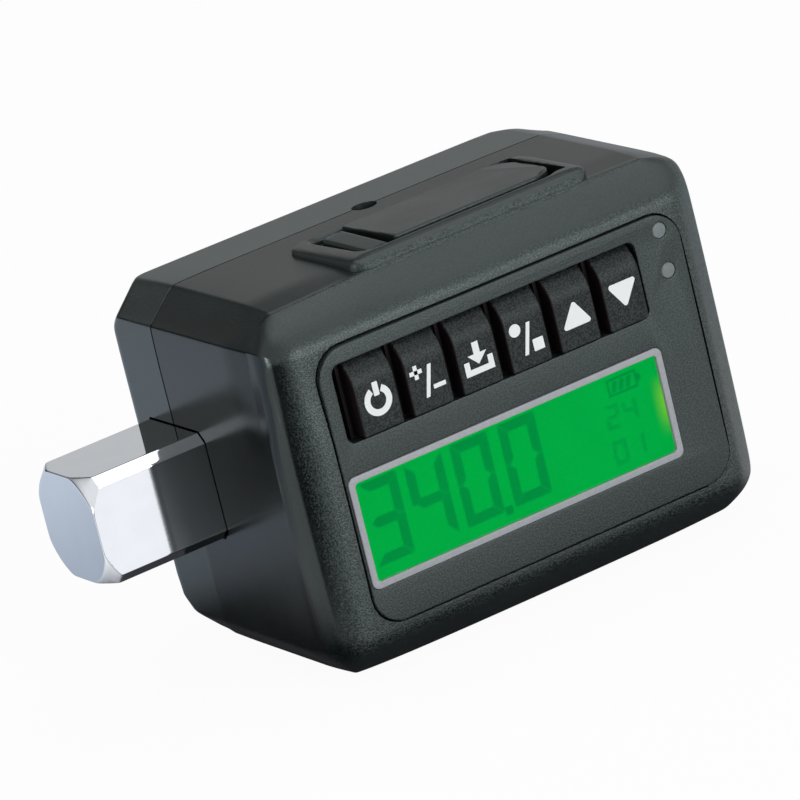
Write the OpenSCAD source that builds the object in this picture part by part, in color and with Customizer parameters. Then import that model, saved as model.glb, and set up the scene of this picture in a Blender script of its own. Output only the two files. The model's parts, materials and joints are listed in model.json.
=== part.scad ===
// Digital torque adapter: a bevelled plastic case on a steel shaft with a
// male square at one end and a female square at the other, a key panel with a
// lit display on the front, and a battery door on top.
// The case is drawn with the drive axis on X, the front towards -Y and +Z up.

/* [Case] */
// Length of the case along the drive axis
case_len = 59; // [58.6:0.2:60.4]
// Height of the case
case_h = 43.5; // [43.5:0.25:45]
// Depth from the drive axis to the front face
front_depth = 25.6; // [25.6:0.1:27]
// Depth from the drive axis to the back face
rear_depth = 15.5; // [15.3:0.1:17]
// Thickness of the side walls
wall = 2.2; // [2:0.1:2.3]
// Thickness of the end walls
end_wall = 2.4; // [2.2:0.1:2.6]
// Thickness of the front wall
front_wall = 3; // [2.8:0.1:3]
// Gap left at the joint between the two halves
seam_gap = 0.1; // [0.06:0.02:0.2]

/* [Bevels] */
// Bevel of the upright front corners, along the length
corner_len = 3.8; // [3.4:0.1:4.2]
// Bevel of the upright front corners, along the depth
corner_depth = 2.7; // [2.4:0.1:3.2]
// Bevel of the upright front corner at the socket end, along the length
far_corner_len = 4.2; // [3.8:0.1:4.4]
// Bevel of the upright front corner at the socket end, along the depth
far_corner_depth = 3.4; // [3:0.1:3.6]
// Rounding of the upright front corners
corner_r = 3.5; // [2.4:0.1:3.6]
// Depth of the bevel between the top and the front face
brow_depth = 4.45; // [4:0.05:4.8]
// Drop of the bevel between the top and the front face
brow_drop = 4.7; // [4.2:0.1:4.8]
// Depth of the bevel between the bottom and the front face
foot_depth = 4.8; // [4.4:0.1:5]
// Rise of the bevel between the bottom and the front face
foot_rise = 4.55; // [4.2:0.05:4.8]
// Rounding where the bevel meets the front face
brow_r = 2.4; // [1.6:0.1:2.8]
// Length of the bevel between the top and the drive end
end_bevel_len = 4.2; // [3.8:0.1:4.6]
// Drop of the bevel between the top and the drive end
end_bevel_drop = 3.7; // [3.3:0.1:4]
// Length of the bevel between the bottom and the drive end
low_bevel_len = 3.8; // [3.4:0.1:4.2]
// Rise of the bevel between the bottom and the drive end
low_bevel_rise = 4.2; // [3.8:0.1:4.4]
// Length of the bevel between the top and the socket end
socket_bevel_len = 4.8; // [4.2:0.1:5]
// Drop of the bevel between the top and the socket end
socket_bevel_drop = 1.9; // [1.7:0.1:2.4]
// Rounding of the small edges of the case
edge_r = 0.7; // [0.4:0.1:0.8]
// Depth of the flat rear shoulder behind the joint
shoulder_depth = 9.2; // [8.8:0.1:9.5]
// Depth of the rear shoulder at the socket end
far_shoulder = 5.8; // [5.4:0.1:6.4]
// Drop of the rear shoulder
shoulder_drop = 0.4; // [0.3:0.02:0.6]
// Drop of the rear bevel behind the shoulder
back_drop = 4.5; // [4.2:0.1:4.6]
// Length of the rear bevel at each end
back_len = 6.4; // [6:0.1:6.5]
// Rounding of the rear bevels
back_r = 2; // [1.5:0.1:2.4]

/* [Shaft] */
// Width across flats of the drive square
square_af = 12.7; // [12.5:0.05:12.8]
// Bevel along the edges of the male square
square_bevel = 1.05; // [0.8:0.05:1.2]
// Length of the male square outside the case
square_len = 15.4; // [14.8:0.1:16.2]
// Radius at which the tip of the male square starts to taper
tip_r = 6.8; // [6.6:0.05:7.2]
// Length of the taper at the tip
tip_len = 2.2; // [1.8:0.1:2.4]
// Clearance round the male square in the case
square_gap = 0.16; // [0.1:0.02:0.3]
// Width across flats of the female square
socket_af = 12.9; // [12.85:0.05:13.05]
// Depth of the female square
socket_depth = 15; // [14:0.5:16]
// Outer radius of the socket end
socket_r = 10.8; // [10.6:0.05:10.85]
// Length of the socket end
socket_len = 23; // [22:0.5:24]
// How far the socket end stands out of the case
socket_out = 1.5; // [1:0.1:2.5]
// Radius of the measuring section
gauge_r = 8; // [7.6:0.1:8.4]
// Distance from the axis to the gauge flats
gauge_flat = 7.2; // [6.8:0.1:7.4]
// Radius of the journal at the drive end
journal_r = 9; // [8.7:0.05:9.05]
// Length of the journal at the drive end
journal_len = 7.4; // [7:0.1:8]
// Running clearance round the socket end in the case
bore_gap = 0.2; // [0.1:0.02:0.3]

/* [Shaft fittings] */
// Wall of the plastic bushes
bush_wall = 1.2; // [1:0.05:1.25]
// Length of each bush
bush_len = 5.4; // [5:0.1:5.6]
// Thickness of the ribs that carry the bushes
rib_t = 2; // [1.6:0.1:2.4]
// Thickness of the retaining ring
ring_t = 1.1; // [0.9:0.05:1.2]
// How far the retaining ring reaches into the shaft
ring_in = 0.6; // [0.4:0.05:0.7]
// How far the retaining ring stands out of the shaft
ring_out = 1.5; // [1.2:0.1:1.6]
// Width of the gap in the retaining ring
ring_gap = 3.4; // [3:0.1:4]
// Radius of the seal's section
seal_r = 0.7; // [0.6:0.02:0.75]
// Radius of the detent ball
ball_r = 1.9; // [1.8:0.05:2]
// Radius of the mouth that keeps the ball in
ball_mouth_r = 1.7; // [1.65:0.01:1.7]
// Clearance round the ball
ball_gap = 0.05; // [0.03:0.01:0.08]
// Wall of the collar round the seal
collar_wall = 1.4; // [1.2:0.1:1.5]
// Bevel of the collar's outer edge
collar_bevel = 0.6; // [0.4:0.1:0.8]
// Length of the detent spring
ball_spring_len = 4.6; // [4.2:0.1:5]
// Thickness of the detent spring's wire
ball_spring_t = 0.55; // [0.4:0.05:0.6]
// Length of each strain gauge
patch_len = 6; // [5:0.5:7]
// Width of each strain gauge
patch_w = 4; // [3.6:0.1:4.6]
// Thickness of each strain gauge
patch_t = 0.2; // [0.1:0.02:0.24]
// Width of the flat lead
lead_w = 3; // [2:0.2:3.6]
// Thickness of the flat lead
lead_t = 0.3; // [0.2:0.05:0.4]

/* [Panel] */
// Margin between the panel and the drive end of the case
panel_left = 5.7; // [5.6:0.05:5.8]
// Margin between the panel and the socket end of the case
panel_end = 4.9; // [4.7:0.05:5]
// Margin between the panel and the top of the case
panel_above = 5.5; // [5.4:0.05:5.7]
// Margin between the panel and the bottom of the case
panel_below = 5.8; // [5.6:0.05:5.9]
// Thickness of the front panel
panel_t = 1.6; // [1.4:0.1:1.6]
// Corner radius of the front panel
panel_r = 3.6; // [3:0.1:4]
// Width of the groove round the panel
groove_w = 0.25; // [0.2:0.05:0.3]
// Width of the ledge that carries the panel
ledge_w = 0.8; // [0.7:0.05:0.8]

/* [Display] */
// Gap from the panel's right edge to the window
window_right = 5.9; // [5.8:0.1:6.4]
// Gap from the key recess to the window
window_top = 3.55; // [3.4:0.05:3.8]
// Gap from the panel's left edge to the window
window_left = 0.3; // [0.3:0.05:0.5]
// Gap from the panel's lower edge to the window
window_low = 4.5; // [4.3:0.1:4.6]
// Width of the border round the display
border_w = 0.8; // [0.6:0.05:0.9]
// Corner radius of the window
window_r = 0.9; // [0.8:0.05:1.2]
// How far the border stands out of the panel
border_out = 0.12; // [0.06:0.02:0.2]
// Thickness of the lens
lens_t = 1.4; // [1.2:0.1:1.5]
// Thickness of the display cell
cell_t = 2; // [1.8:0.1:2.2]
// Thickness of the light guide
guide_t = 2.6; // [2.2:0.1:2.6]
// Width of each contact strip
zebra_w = 1.1; // [0.8:0.1:1.4]

/* [Keys] */
// Number of keys
key_count = 6; // [6]
// Gap from the panel's right edge to the recess
recess_right = 6.1; // [5.9:0.1:6.3]
// Height of the key recess
recess_h = 9.1; // [8.8:0.1:9.2]
// Gap from the panel's left edge to the recess
recess_left = 1.7; // [1.7:0.05:1.9]
// Gap from the panel's top edge to the recess
recess_top = 1.85; // [1.8:0.05:2]
// Corner radius of the recess
recess_r = 1; // [0.6:0.1:1.3]
// Gap between the first key and the recess
key_left_gap = 1.73; // [1.5:0.01:1.75]
// Gap between two keys
key_pitch_gap = 1.3; // [1.2:0.02:1.3]
// Gap between the last key and the recess
key_right_gap = 0.45; // [0.4:0.05:0.5]
// Gap above and below each key
key_gap = 0.25; // [0.2:0.05:0.4]
// How far the keys stand out of the panel
key_out = 0.7; // [0.5:0.05:0.9]
// Height of the sloped top part of each key
key_slope_h = 2; // [1.6:0.1:2.4]
// Depth of the slope at the top of each key
key_slope_depth = 1.5; // [1:0.1:1.6]
// Rounding of the lower edge of each key
key_edge_r = 0.35; // [0.2:0.05:0.4]
// Thickness of the flange behind each key
flange_t = 0.5; // [0.4:0.05:0.55]
// How far the flange reaches past the key
flange_out = 0.45; // [0.35:0.05:0.5]
// Clearance between the flange and the panel
flange_gap = 0.1; // [0.05:0.01:0.12]
// Travel of each key
key_travel = 0.5; // [0.4:0.05:0.5]
// Gap between a pressed key and the rubber mat
press_gap = 0.3; // [0.25:0.05:0.35]
// Thickness of the rubber mat's web
mat_t = 1; // [0.8:0.1:1]
// Radius of the posts under the mat
post_r = 1.3; // [1:0.1:1.5]
// Gap between each post and its switch
post_gap = 0.3; // [0.2:0.05:0.35]
// Radius of each dome switch
dome_r = 1.8; // [1.6:0.1:2]
// Height of each dome switch
dome_h = 0.5; // [0.4:0.05:0.6]

/* [Indicators] */
// Radius of each indicator window
lamp_r = 0.9; // [0.7:0.05:1]
// Gap from the panel's right edge to the upper indicator
lamp_right = 2.5; // [2.3:0.05:2.6]
// Gap from the panel's top edge to the upper indicator
lamp_top = 1.95; // [1.9:0.05:2.1]
// Distance between the indicators
lamp_pitch = 4.75; // [4.4:0.05:5]
// Clearance round each indicator window
lamp_gap = 0.05; // [0.03:0.01:0.08]
// Size of each indicator chip
led_size = 1.4; // [1:0.1:1.6]
// Height of each indicator chip
led_h = 0.8; // [0.6:0.05:0.9]

/* [Board] */
// Thickness of the circuit board
board_t = 1.2; // [1:0.1:1.2]
// Gap between the circuit board and the walls
board_gap = 0.5; // [0.4:0.05:0.7]
// Gap from the top and bottom of the case to the circuit board
board_edge = 5.35; // [5.2:0.05:5.6]
// Radius of the board screws' bosses
board_boss_r = 1.6; // [1.5:0.05:1.7]
// Radius of the board screws
board_screw_r = 0.9; // [0.7:0.05:1]
// Length of the board screws in the boss
board_screw_len = 2.4; // [2:0.1:2.6]
// Radius of the board screws' heads
board_head_r = 1.7; // [1.5:0.05:1.8]
// Height of the board screws' heads
board_head_h = 1.2; // [1:0.1:1.4]
// Side of the controller chip
chip_w = 9; // [8:0.5:10]
// Height of the controller chip
chip_h = 1.4; // [1:0.1:1.6]
// Length of the amplifier chip
amp_len = 5; // [4:0.2:6]
// Width of the amplifier chip
amp_w = 4; // [3.6:0.1:4.4]
// Radius of each capacitor
cap_r = 1.8; // [1.5:0.1:2]
// Distance between the capacitors
cap_pitch = 5.2; // [4.8:0.1:5.6]
// Height of each capacitor
cap_h = 3; // [2:0.1:3.4]

/* [Battery] */
// Gap left at the drive end of the cradle
cradle_left = 0.3; // [0.25:0.01:0.35]
// Depth of the cells' axis under the top of the case
cell_under = 7.85; // [7.83:0.01:7.87]
// Clearance round the cells in their cradle
cell_gap = 0.15; // [0.1:0.01:0.2]
// Wall of the cradle
cradle_wall = 1; // [0.8:0.05:1]
// Thickness of the flat contact
contact_t = 0.4; // [0.3:0.05:0.5]
// Length of the sprung contact
contact_len = 3; // [2.8:0.1:3]
// Radius of the sprung contact's foot
contact_r = 4; // [3:0.1:4.4]
// Radius of the buzzer
buzzer_r = 4.5; // [4:0.1:4.8]
// Height of the buzzer
buzzer_h = 2.6; // [2.4:0.1:2.8]
// Radius of the sound hole
sound_r = 1.5; // [1.2:0.05:1.6]
// Place of the sound hole from the drive end
sound_x = 29.9; // [29.5:0.1:30.5]

/* [Door] */
// Place of the door frame from the drive end
frame_x = 15.5; // [15.3:0.1:15.7]
// Gap from the door frame to the socket end
frame_end = 10.9; // [10.8:0.05:11]
// Gap from the front face to the door frame
frame_setback = 4.3; // [4.2:0.02:4.36]
// Depth of the back of the door frame
frame_back = 4.9; // [4.85:0.01:4.94]
// Height of the door frame at its front
frame_rise = 1.5; // [1.4:0.05:1.6]
// Height of the door frame at its back
frame_rise_back = 0.7; // [0.65:0.02:0.8]
// Corner radius of the door frame
frame_r = 3.6; // [3:0.1:4]
// Rounding of the door frame's back edge
frame_edge_r = 0.64; // [0.5:0.02:0.66]
// Rounding of the door frame's front edge
frame_front_r = 1.2; // [0.8:0.1:1.4]
// Rounding of the door frame's edges at both ends
frame_side_r = 1; // [0.6:0.1:1.2]
// Band of the frame in front of the door
band_front = 3.4; // [3.3:0.02:3.5]
// Band of the frame behind the door
band_back = 0.7; // [0.68:0.01:0.74]
// Band of the frame left of the finger window
band_left = 3.5; // [3.4:0.05:3.6]
// Band of the frame right of the door
band_right = 1.8; // [1.6:0.05:1.8]
// Length of the finger window
finger_len = 4.3; // [4.2:0.05:4.5]
// Step from the door opening to the back edge of the finger window
finger_step = 1.8; // [1.7:0.1:2]
// Gap between the door and its frame
door_gap = 0.12; // [0.08:0.01:0.15]
// Gap between the door's round end and its frame
door_end_gap = 0.9; // [0.88:0.01:1]
// Corner radius at the door's right end
door_r = 3.2; // [2.8:0.1:3.6]
// Height of the underside of the door over the drive axis, below the top
door_under = 0.75; // [0.72:0.01:0.78]
// Width of the seat under the door's long edges
seat_w = 0.3; // [0.25:0.01:0.3]
// Distance of the hinge pin from the door's right end
pin_back = 1.2; // [1.15:0.01:1.25]
// Depth of the hinge pin below the top
pin_under = 0.15; // [0.14:0.01:0.18]
// Radius of the hinge pin
pin_r = 0.5; // [0.45:0.01:0.5]
// Running clearance round the hinge pin
pin_gap = 0.05; // [0.03:0.01:0.08]
// How far the hinge pin reaches into the frame
pin_in = 0.6; // [0.5:0.02:0.62]
// Thickness of the latch
latch_t = 0.85; // [0.8:0.01:0.88]
// Width of the latch
latch_w = 5.4; // [5:0.1:5.6]
// Length of the latch
latch_len = 8.3; // [8:0.1:8.6]
// Clearance round the latch
latch_gap = 0.1; // [0.08:0.01:0.12]
// Travel of the latch
latch_travel = 0.7; // [0.6:0.02:0.72]
// Length of the finger pad
pad_len = 3; // [2.8:0.05:3.02]
// Height of the finger pad's high side
pad_rise = 1.3; // [1.1:0.05:1.4]
// Height of the finger pad's low side
pad_low = 1; // [0.9:0.05:1.1]
// Width of the guides beside the latch
guide_w = 0.8; // [0.7:0.05:0.85]

/* [Case screws] */
// Distance of the screws from the drive end
screw_x = 9; // [8.9:0.05:9.2]
// Distance of the screws from the socket end's bush
screw_out = 1.8; // [1.7:0.05:1.9]
// Radius of the screws' thread
screw_r = 1.25; // [1.1:0.05:1.3]
// Radius of the screws' heads
head_r = 2.1; // [2:0.05:2.2]
// Height of the screws' heads
head_h = 1.6; // [1.4:0.1:1.8]
// Radius of the recess for each head
head_recess_r = 2.35; // [2.3:0.05:2.4]
// Depth of the head under the back face
head_sink = 0.7; // [0.5:0.1:0.8]
// Radius of the screw bosses
boss_r = 2.5; // [2.4:0.02:2.5]
// Length of the front bosses
boss_len = 13; // [12:0.5:14]
// Length of the thread in the front half
thread_len = 9; // [8:0.5:10]
// Clearance round the screws
screw_gap = 0.05; // [0.03:0.01:0.1]
// Across the flats of the hexagon drive in the heads
hex_af = 2; // [1.8:0.05:2.2]
// Depth of the hexagon drive in the heads
hex_depth = 1; // [0.8:0.05:1.1]

/* [Hidden] */
// Overrun of a cut past the solid that it cuts
over = 1;
// Steps of an arc in an outline
arc_steps = 6;
// Facets of round features
$fn = 48;

// Case, derived
half_h = case_h / 2;
front_y = -front_depth;
inner_top = half_h - wall;
front_edge_z = half_h - brow_drop;
crease_y = front_y + brow_depth;
cavity_front = front_y + front_wall;
// Panel, derived
panel_right = case_len - panel_end;
panel_top = half_h - panel_above;
panel_low = panel_below - half_h;
panel_w = panel_right - panel_left;
panel_h = panel_top - panel_low;
panel_back = front_y + panel_t;
panel_mid_x = panel_left + panel_w / 2;
open_left = panel_left + ledge_w;
open_right = panel_right - ledge_w;
open_top = panel_top - ledge_w;
open_low = panel_low + ledge_w;
// Display, derived
window_x = panel_left + window_left;
window_w = panel_right - window_right - window_x;
window_z = panel_low + window_low;
window_h = panel_top - recess_top - recess_h - window_top - window_z;
view_x = window_x + border_w;
view_w = window_w - border_w - border_w;
view_z = window_z + border_w;
view_h = window_h - border_w - border_w;
lens_back = front_y + lens_t;
cell_front = panel_back + flange_gap;
cell_back = cell_front + cell_t;
board_front = cell_back + guide_t;
board_back = board_front + board_t;
board_left = end_wall + board_gap;
board_right = case_len - end_wall - board_gap;
board_half = half_h - board_edge;
// Keys, derived
recess_x = panel_left + recess_left;
recess_w = panel_right - recess_right - recess_x;
key_w = (recess_w - key_left_gap - key_right_gap + key_pitch_gap) / key_count - key_pitch_gap;
recess_top_z = panel_top - recess_top;
recess_low_z = recess_top_z - recess_h;
recess_mid_z = recess_top_z - recess_h / 2;
key_pitch = key_w + key_pitch_gap;
last_key_x = recess_x + recess_w - key_right_gap - key_w;
first_key_x = last_key_x - (key_count - 1) * key_pitch;
key_low_z = recess_low_z + key_gap;
key_top_z = recess_top_z - key_gap;
key_face = front_y - key_out;
flange_front = panel_back + flange_gap;
flange_back = flange_front + flange_t;
mat_front = flange_back + key_travel + press_gap;
mat_back = mat_front + mat_t;
// Indicators, derived
lamp_x = panel_right - lamp_right;
lamp_z = panel_top - lamp_top;
// Shaft, derived
bush_x = end_wall + bore_gap;
journal_end = bush_x + journal_len;
drive_bush_r = journal_r + bush_wall;
socket_end = case_len + socket_out;
socket_start = socket_end - socket_len;
socket_bore = socket_r + bore_gap;
socket_bush_r = socket_r + bush_wall;
ring_x = case_len - end_wall - bore_gap - ring_t;
socket_bush_x = ring_x - bore_gap - bush_len;
drive_rib_x = bush_x + (bush_len - rib_t) / 2;
seal_x = case_len - end_wall / 2;
seal_mid_r = socket_r + seal_r;
collar_r = seal_mid_r + seal_r + collar_wall;
ball_x = -square_len / 2;
ball_sink = sqrt(ball_r * ball_r - ball_mouth_r * ball_mouth_r);
ball_z = ball_sink - square_af / 2;
ball_out = ball_r - ball_sink;
ball_spring_r = ball_r - ball_spring_t / 2;
ball_spring_hole = ball_spring_r - ball_spring_t;
ball_spring_z = ball_z + ball_gap + sqrt(ball_r * ball_r - ball_spring_hole * ball_spring_hole);
gauge_mid = (journal_end + socket_start) / 2;
// Door, derived
frame_right = case_len - frame_end;
frame_len = frame_right - frame_x;
frame_front = front_depth - frame_setback;
hole_front = frame_front - band_front;
hole_back = frame_back + band_back;
finger_back = hole_back + finger_step;
hole_x = frame_x + band_left;
hole_right = frame_right - band_right;
door_x = hole_x + finger_len;
door_right = hole_right - door_end_gap;
door_front = door_gap - hole_front;
door_back = -hole_back - door_gap;
door_low = half_h - door_under;
pin_x = door_right - pin_back;
pin_z = half_h - pin_under;
pin_boss_r = pin_z - door_low + pin_r;
pad_x = door_x - latch_travel - latch_gap - pad_len;
latch_top = door_low - latch_gap;
latch_mid = -(hole_front + finger_back) / 2;
latch_x = hole_x + door_gap + pin_gap;
// Battery, derived
cell_r = (hole_front - hole_back) / 2 - seat_w - pin_gap;
cell_depth = (hole_front + hole_back) / 2;
cell_up = half_h - cell_under;
cradle_x = hole_x + cradle_left;
stack_x = cradle_x + cradle_wall + contact_len;
stack_right = hole_right - contact_t - cradle_wall;
cell_len = (stack_right - stack_x) / 2;
cradle_in_r = cell_r + cell_gap;
cradle_out_r = cradle_in_r + cradle_wall;
cradle_front = board_back + door_gap;
// Screws, derived
screw_up = socket_bush_r + screw_out;
screw_places = [for (x = [screw_x, case_len - screw_x], z = [-screw_up, screw_up]) [x, z]];
head_y = rear_depth - head_sink - head_h;
board_screw_low = open_low;
board_places = [[panel_left + window_w / 4, board_screw_low],
                [panel_right - window_w / 4, board_screw_low],
                [board_left + board_boss_r, panel_h * 3 / 8],
                [board_right - board_boss_r, panel_h / 8]];
// The row frame: centre of the box in X and Y, and the bottom in Z
mid_x = (socket_end - square_len) / 2;
mid_y = (rear_depth + key_face) / 2;

// Points of a corner at p, between the points a and b, rounded with radius r
function unit(v) = v / norm(v);
function corner(a, p, b, r) =
  let (u = unit(a - p), v = unit(b - p), half = acos(u * v) / 2,
       c = p + unit(u + v) * (r / sin(half)),
       s = p + u * (r / tan(half)) - c, e = p + v * (r / tan(half)) - c,
       from = atan2(s.y, s.x), turn = atan2(s.x * e.y - s.y * e.x, s * e))
  r == 0 ? [p] : [for (i = [0:arc_steps])
    c + r * [cos(from + turn * i / arc_steps), sin(from + turn * i / arc_steps)]];

// An outline whose points each carry a rounding radius as a third value
function flat(q) = [q.x, q.y];
function rounded(pts) = let (n = len(pts)) [for (i = [0:n - 1])
  each corner(flat(pts[(i + n - 1) % n]), flat(pts[i]), flat(pts[(i + 1) % n]), pts[i].z)];

// A rectangle from its lower left corner with rounded corners
module round_rect(w, h, r) {
  polygon(rounded([[0, 0, r], [w, 0, r], [w, h, r], [0, h, r]]));
}

// Solids extruded along Y from y0 to y1, with the outline in X and Z
module along_y(y0, y1) {
  translate([0, y1, 0]) rotate([90, 0, 0]) linear_extrude(y1 - y0) children();
}

// Solids extruded along X from x0 to x1, with the outline in Y and Z
module along_x(x0, x1) {
  translate([x0, 0, 0]) rotate([90, 0, 90]) linear_extrude(x1 - x0) children();
}

// A rod along X, Y or Z
module rod_x(x0, x1, r) {
  translate([x0, 0, 0]) rotate([0, 90, 0]) cylinder(r = r, h = x1 - x0);
}
module rod_y(y0, y1, r) {
  translate([0, y1, 0]) rotate([90, 0, 0]) cylinder(r = r, h = y1 - y0);
}

// A box between two corners
module span(low, high) {
  translate(low) cube(high - low);
}

// The row frame's place of everything drawn on the drive axis
module placed() {
  translate([-mid_x, -mid_y, half_h]) children();
}

// Outlines of the case, drawn in by the walls for the cavity

module case_plan(inset_end, inset_front, inset_back, soft) {
  left = inset_end;
  right = case_len - inset_end;
  near = front_y + inset_front;
  far = rear_depth - inset_back;
  linear_extrude(case_h, center = true) polygon(rounded([
    [left + corner_len, near, soft * corner_r],
    [right - far_corner_len, near, soft * corner_r],
    [right, near + far_corner_depth, soft * corner_r],
    [right, far_shoulder, soft * back_r],
    [right - back_len, far, soft * back_r],
    [left + back_len, far, soft * back_r],
    [left, shoulder_depth, soft * back_r],
    [left, near + corner_depth, soft * corner_r]]));
}

module case_side(inset, inset_front, inset_back, soft) {
  top = half_h - inset;
  near = front_y + inset_front;
  far = rear_depth - inset_back;
  along_x(0, case_len) polygon(rounded([
    [near, foot_rise - top, soft * brow_r],
    [near + foot_depth, -top, soft * edge_r],
    [0, -top, 0],
    [shoulder_depth, shoulder_drop - top, soft * back_r],
    [far, shoulder_drop + back_drop - top, soft * back_r],
    [far, top - shoulder_drop - back_drop, soft * back_r],
    [shoulder_depth, top - shoulder_drop, soft * back_r],
    [0, top, 0],
    [near + brow_depth, top, soft * edge_r],
    [near, top - brow_drop, soft * brow_r]]));
}

module case_end(inset, inset_end, soft) {
  top = half_h - inset;
  left = inset_end;
  right = case_len - inset_end;
  along_y(front_y, rear_depth) polygon(rounded([
    [left, low_bevel_rise - top, soft * edge_r],
    [left + low_bevel_len, -top, soft * edge_r],
    [right - end_bevel_len, -top, soft * back_r],
    [right, end_bevel_drop - top, soft * back_r],
    [right, top - socket_bevel_drop, soft * edge_r * 2],
    [right - socket_bevel_len, top, soft * edge_r],
    [left + end_bevel_len, top, soft * edge_r],
    [left, top - end_bevel_drop, soft * edge_r]]));
}

module case_outside() {
  intersection() {
    case_plan(0, 0, 0, 1);
    case_side(0, 0, 0, 1);
    case_end(0, 0, 1);
  }
}

module case_cavity() {
  intersection() {
    case_plan(end_wall, front_wall, wall, 0);
    case_side(wall, front_wall, wall, 0);
    case_end(wall, end_wall, 0);
  }
}

// Everything in front of or behind the joint plane
module front_half() {
  span([-over, front_y - over, -case_h], [case_len + over, -seam_gap / 2, case_h]);
}
module rear_half() {
  span([-over, seam_gap / 2, -case_h], [case_len + over, rear_depth + over, case_h]);
}

// The square section of the drive with bevelled edges, widened by a gap
module square_section(af, bevel) {
  half = af / 2;
  flat = half - bevel;
  polygon([[-half, -flat], [-flat, -half], [flat, -half], [half, -flat],
           [half, flat], [flat, half], [-flat, half], [-half, flat]]);
}

// Cuts that both halves share: the shaft's holes, the seal groove and the sound hole
module shaft_cuts() {
  along_x(-over, end_wall + over) square_section(square_af + square_gap + square_gap, square_bevel);
  rod_x(bush_x - bore_gap, bush_x + bush_len, drive_bush_r);
  rod_x(case_len - end_wall - over, case_len + over, socket_bore);
  rod_x(socket_bush_x - bore_gap, socket_bush_x + bush_len, socket_bush_r);
  rod_x(ring_x - bore_gap, case_len - end_wall, socket_r + ring_out + bore_gap);
  rod_x(seal_x - seal_r, seal_x + seal_r, socket_r + seal_r + seal_r);
  translate([sound_x, 0, inner_top - over]) cylinder(r = sound_r, h = wall + over + over);
}

// A rib across the inside and a collar at the far end, which carry the two bushes
module bush_ribs() {
  intersection() {
    case_cavity();
    span([drive_rib_x, -collar_r, -half_h], [drive_rib_x + rib_t, rear_depth, half_h]);
  }
  rotate([0, 90, 0]) rotate_extrude() polygon([[0, socket_bush_x], [collar_r, socket_bush_x],
    [collar_r, case_len - collar_bevel], [collar_r - collar_bevel, case_len], [0, case_len]]);
}

// Screw bosses with the webs that tie them to the top and bottom walls
module screw_bosses(y0, y1) {
  for (p = screw_places) {
    translate([p.x, 0, p.y]) rod_y(y0, y1, boss_r);
    intersection() {
      case_cavity();
      side = sign(p.y);
      span([p.x - boss_r / 2, y0, min(p.y, side * half_h)], [p.x + boss_r / 2, y1, max(p.y, side * half_h)]);
    }
  }
}

// The raised frame round the battery door, and the opening in it
module frame_outline(grow) {
  translate([frame_x, -frame_front, 0]) linear_extrude(case_h)
    translate([-grow, -grow]) round_rect(frame_len + grow + grow,
      frame_front - frame_back + grow + grow, frame_r + grow);
}

module frame_slope(lower) {
  along_x(frame_x, frame_right) polygon(rounded([
    [-frame_front, inner_top, 0],
    [-frame_back, inner_top, 0],
    [-frame_back, half_h + frame_rise_back - lower, frame_edge_r],
    [-frame_front, half_h + frame_rise - lower, frame_front_r]]));
}

module door_frame() {
  intersection() {
    frame_outline(0);
    frame_slope(0);
    along_y(-frame_front, -frame_back) polygon(rounded([
      [frame_x, inner_top, 0], [frame_right, inner_top, 0],
      [frame_right, half_h + frame_rise, frame_side_r],
      [frame_x, half_h + frame_rise, frame_side_r]]));
  }
}

module door_opening() {
  // Upper part, which the door and the finger window share
  span([door_x - door_gap, -hole_front, door_low - latch_gap],
       [hole_right, -hole_back, half_h + frame_rise + over]);
  span([hole_x, -hole_front, inner_top - over], [door_x, -finger_back, half_h + frame_rise + over]);
  // Lower part, which leaves a narrow seat along both long edges
  span([door_x - door_gap, seat_w - hole_front, inner_top - over], [hole_right, -hole_back - seat_w, half_h]);
  // Room for the door's tail as it swings down
  span([pin_x - pin_back, -hole_front, inner_top - over], [hole_right, -hole_back, half_h]);
}

module front_shell() {
  color([0.17, 0.19, 0.19]) placed() difference() {
    union() {
      intersection() {
        front_half();
        difference() {
          case_outside();
          case_cavity();
        }
      }
      intersection() {
        front_half();
        union() {
          bush_ribs();
          screw_bosses(-boss_len, 0);
        }
      }
      board_bosses();
      door_frame();
    }
    shaft_cuts();
    door_opening();
    // Recess for the panel, and the opening inside its ledge
    translate([-groove_w, 0, -groove_w]) along_y(front_y - over, panel_back)
      translate([panel_left, panel_low])
        round_rect(panel_w + groove_w + groove_w, panel_h + groove_w + groove_w, panel_r + groove_w);
    along_y(front_y - over, cavity_front + bore_gap) translate([open_left, open_low])
      round_rect(open_right - open_left, open_top - open_low, panel_r / 2);
    // Threads of the case screws and of the board screws, and the hinge pin's seats
    for (p = screw_places) translate([p.x, 0, p.y]) rod_y(-thread_len - over, over, screw_r + screw_gap);
    for (p = board_places) translate([p.x, 0, p.y])
      rod_y(board_front - board_screw_len - screw_gap, board_front + over, board_screw_r + screw_gap);
    translate([pin_x, 0, pin_z]) rod_y(-hole_front - pin_in, pin_in - hole_back, pin_r);
  }
}

module board_bosses() {
  for (p = board_places) translate([p.x, 0, p.y]) rod_y(panel_back, board_front, board_boss_r);
}

module rear_shell() {
  color([0.19, 0.21, 0.21]) placed() difference() {
    union() {
      intersection() {
        rear_half();
        difference() {
          case_outside();
          case_cavity();
        }
      }
      intersection() {
        rear_half();
        union() {
          bush_ribs();
          intersection() {
            case_outside();
            screw_bosses(0, rear_depth);
          }
        }
      }
      buzzer_seat();
    }
    shaft_cuts();
    for (p = screw_places) translate([p.x, 0, p.y]) {
      rod_y(-over, rear_depth, screw_r + screw_gap);
      rod_y(head_y, rear_depth + over, head_recess_r);
    }
  }
}

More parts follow.
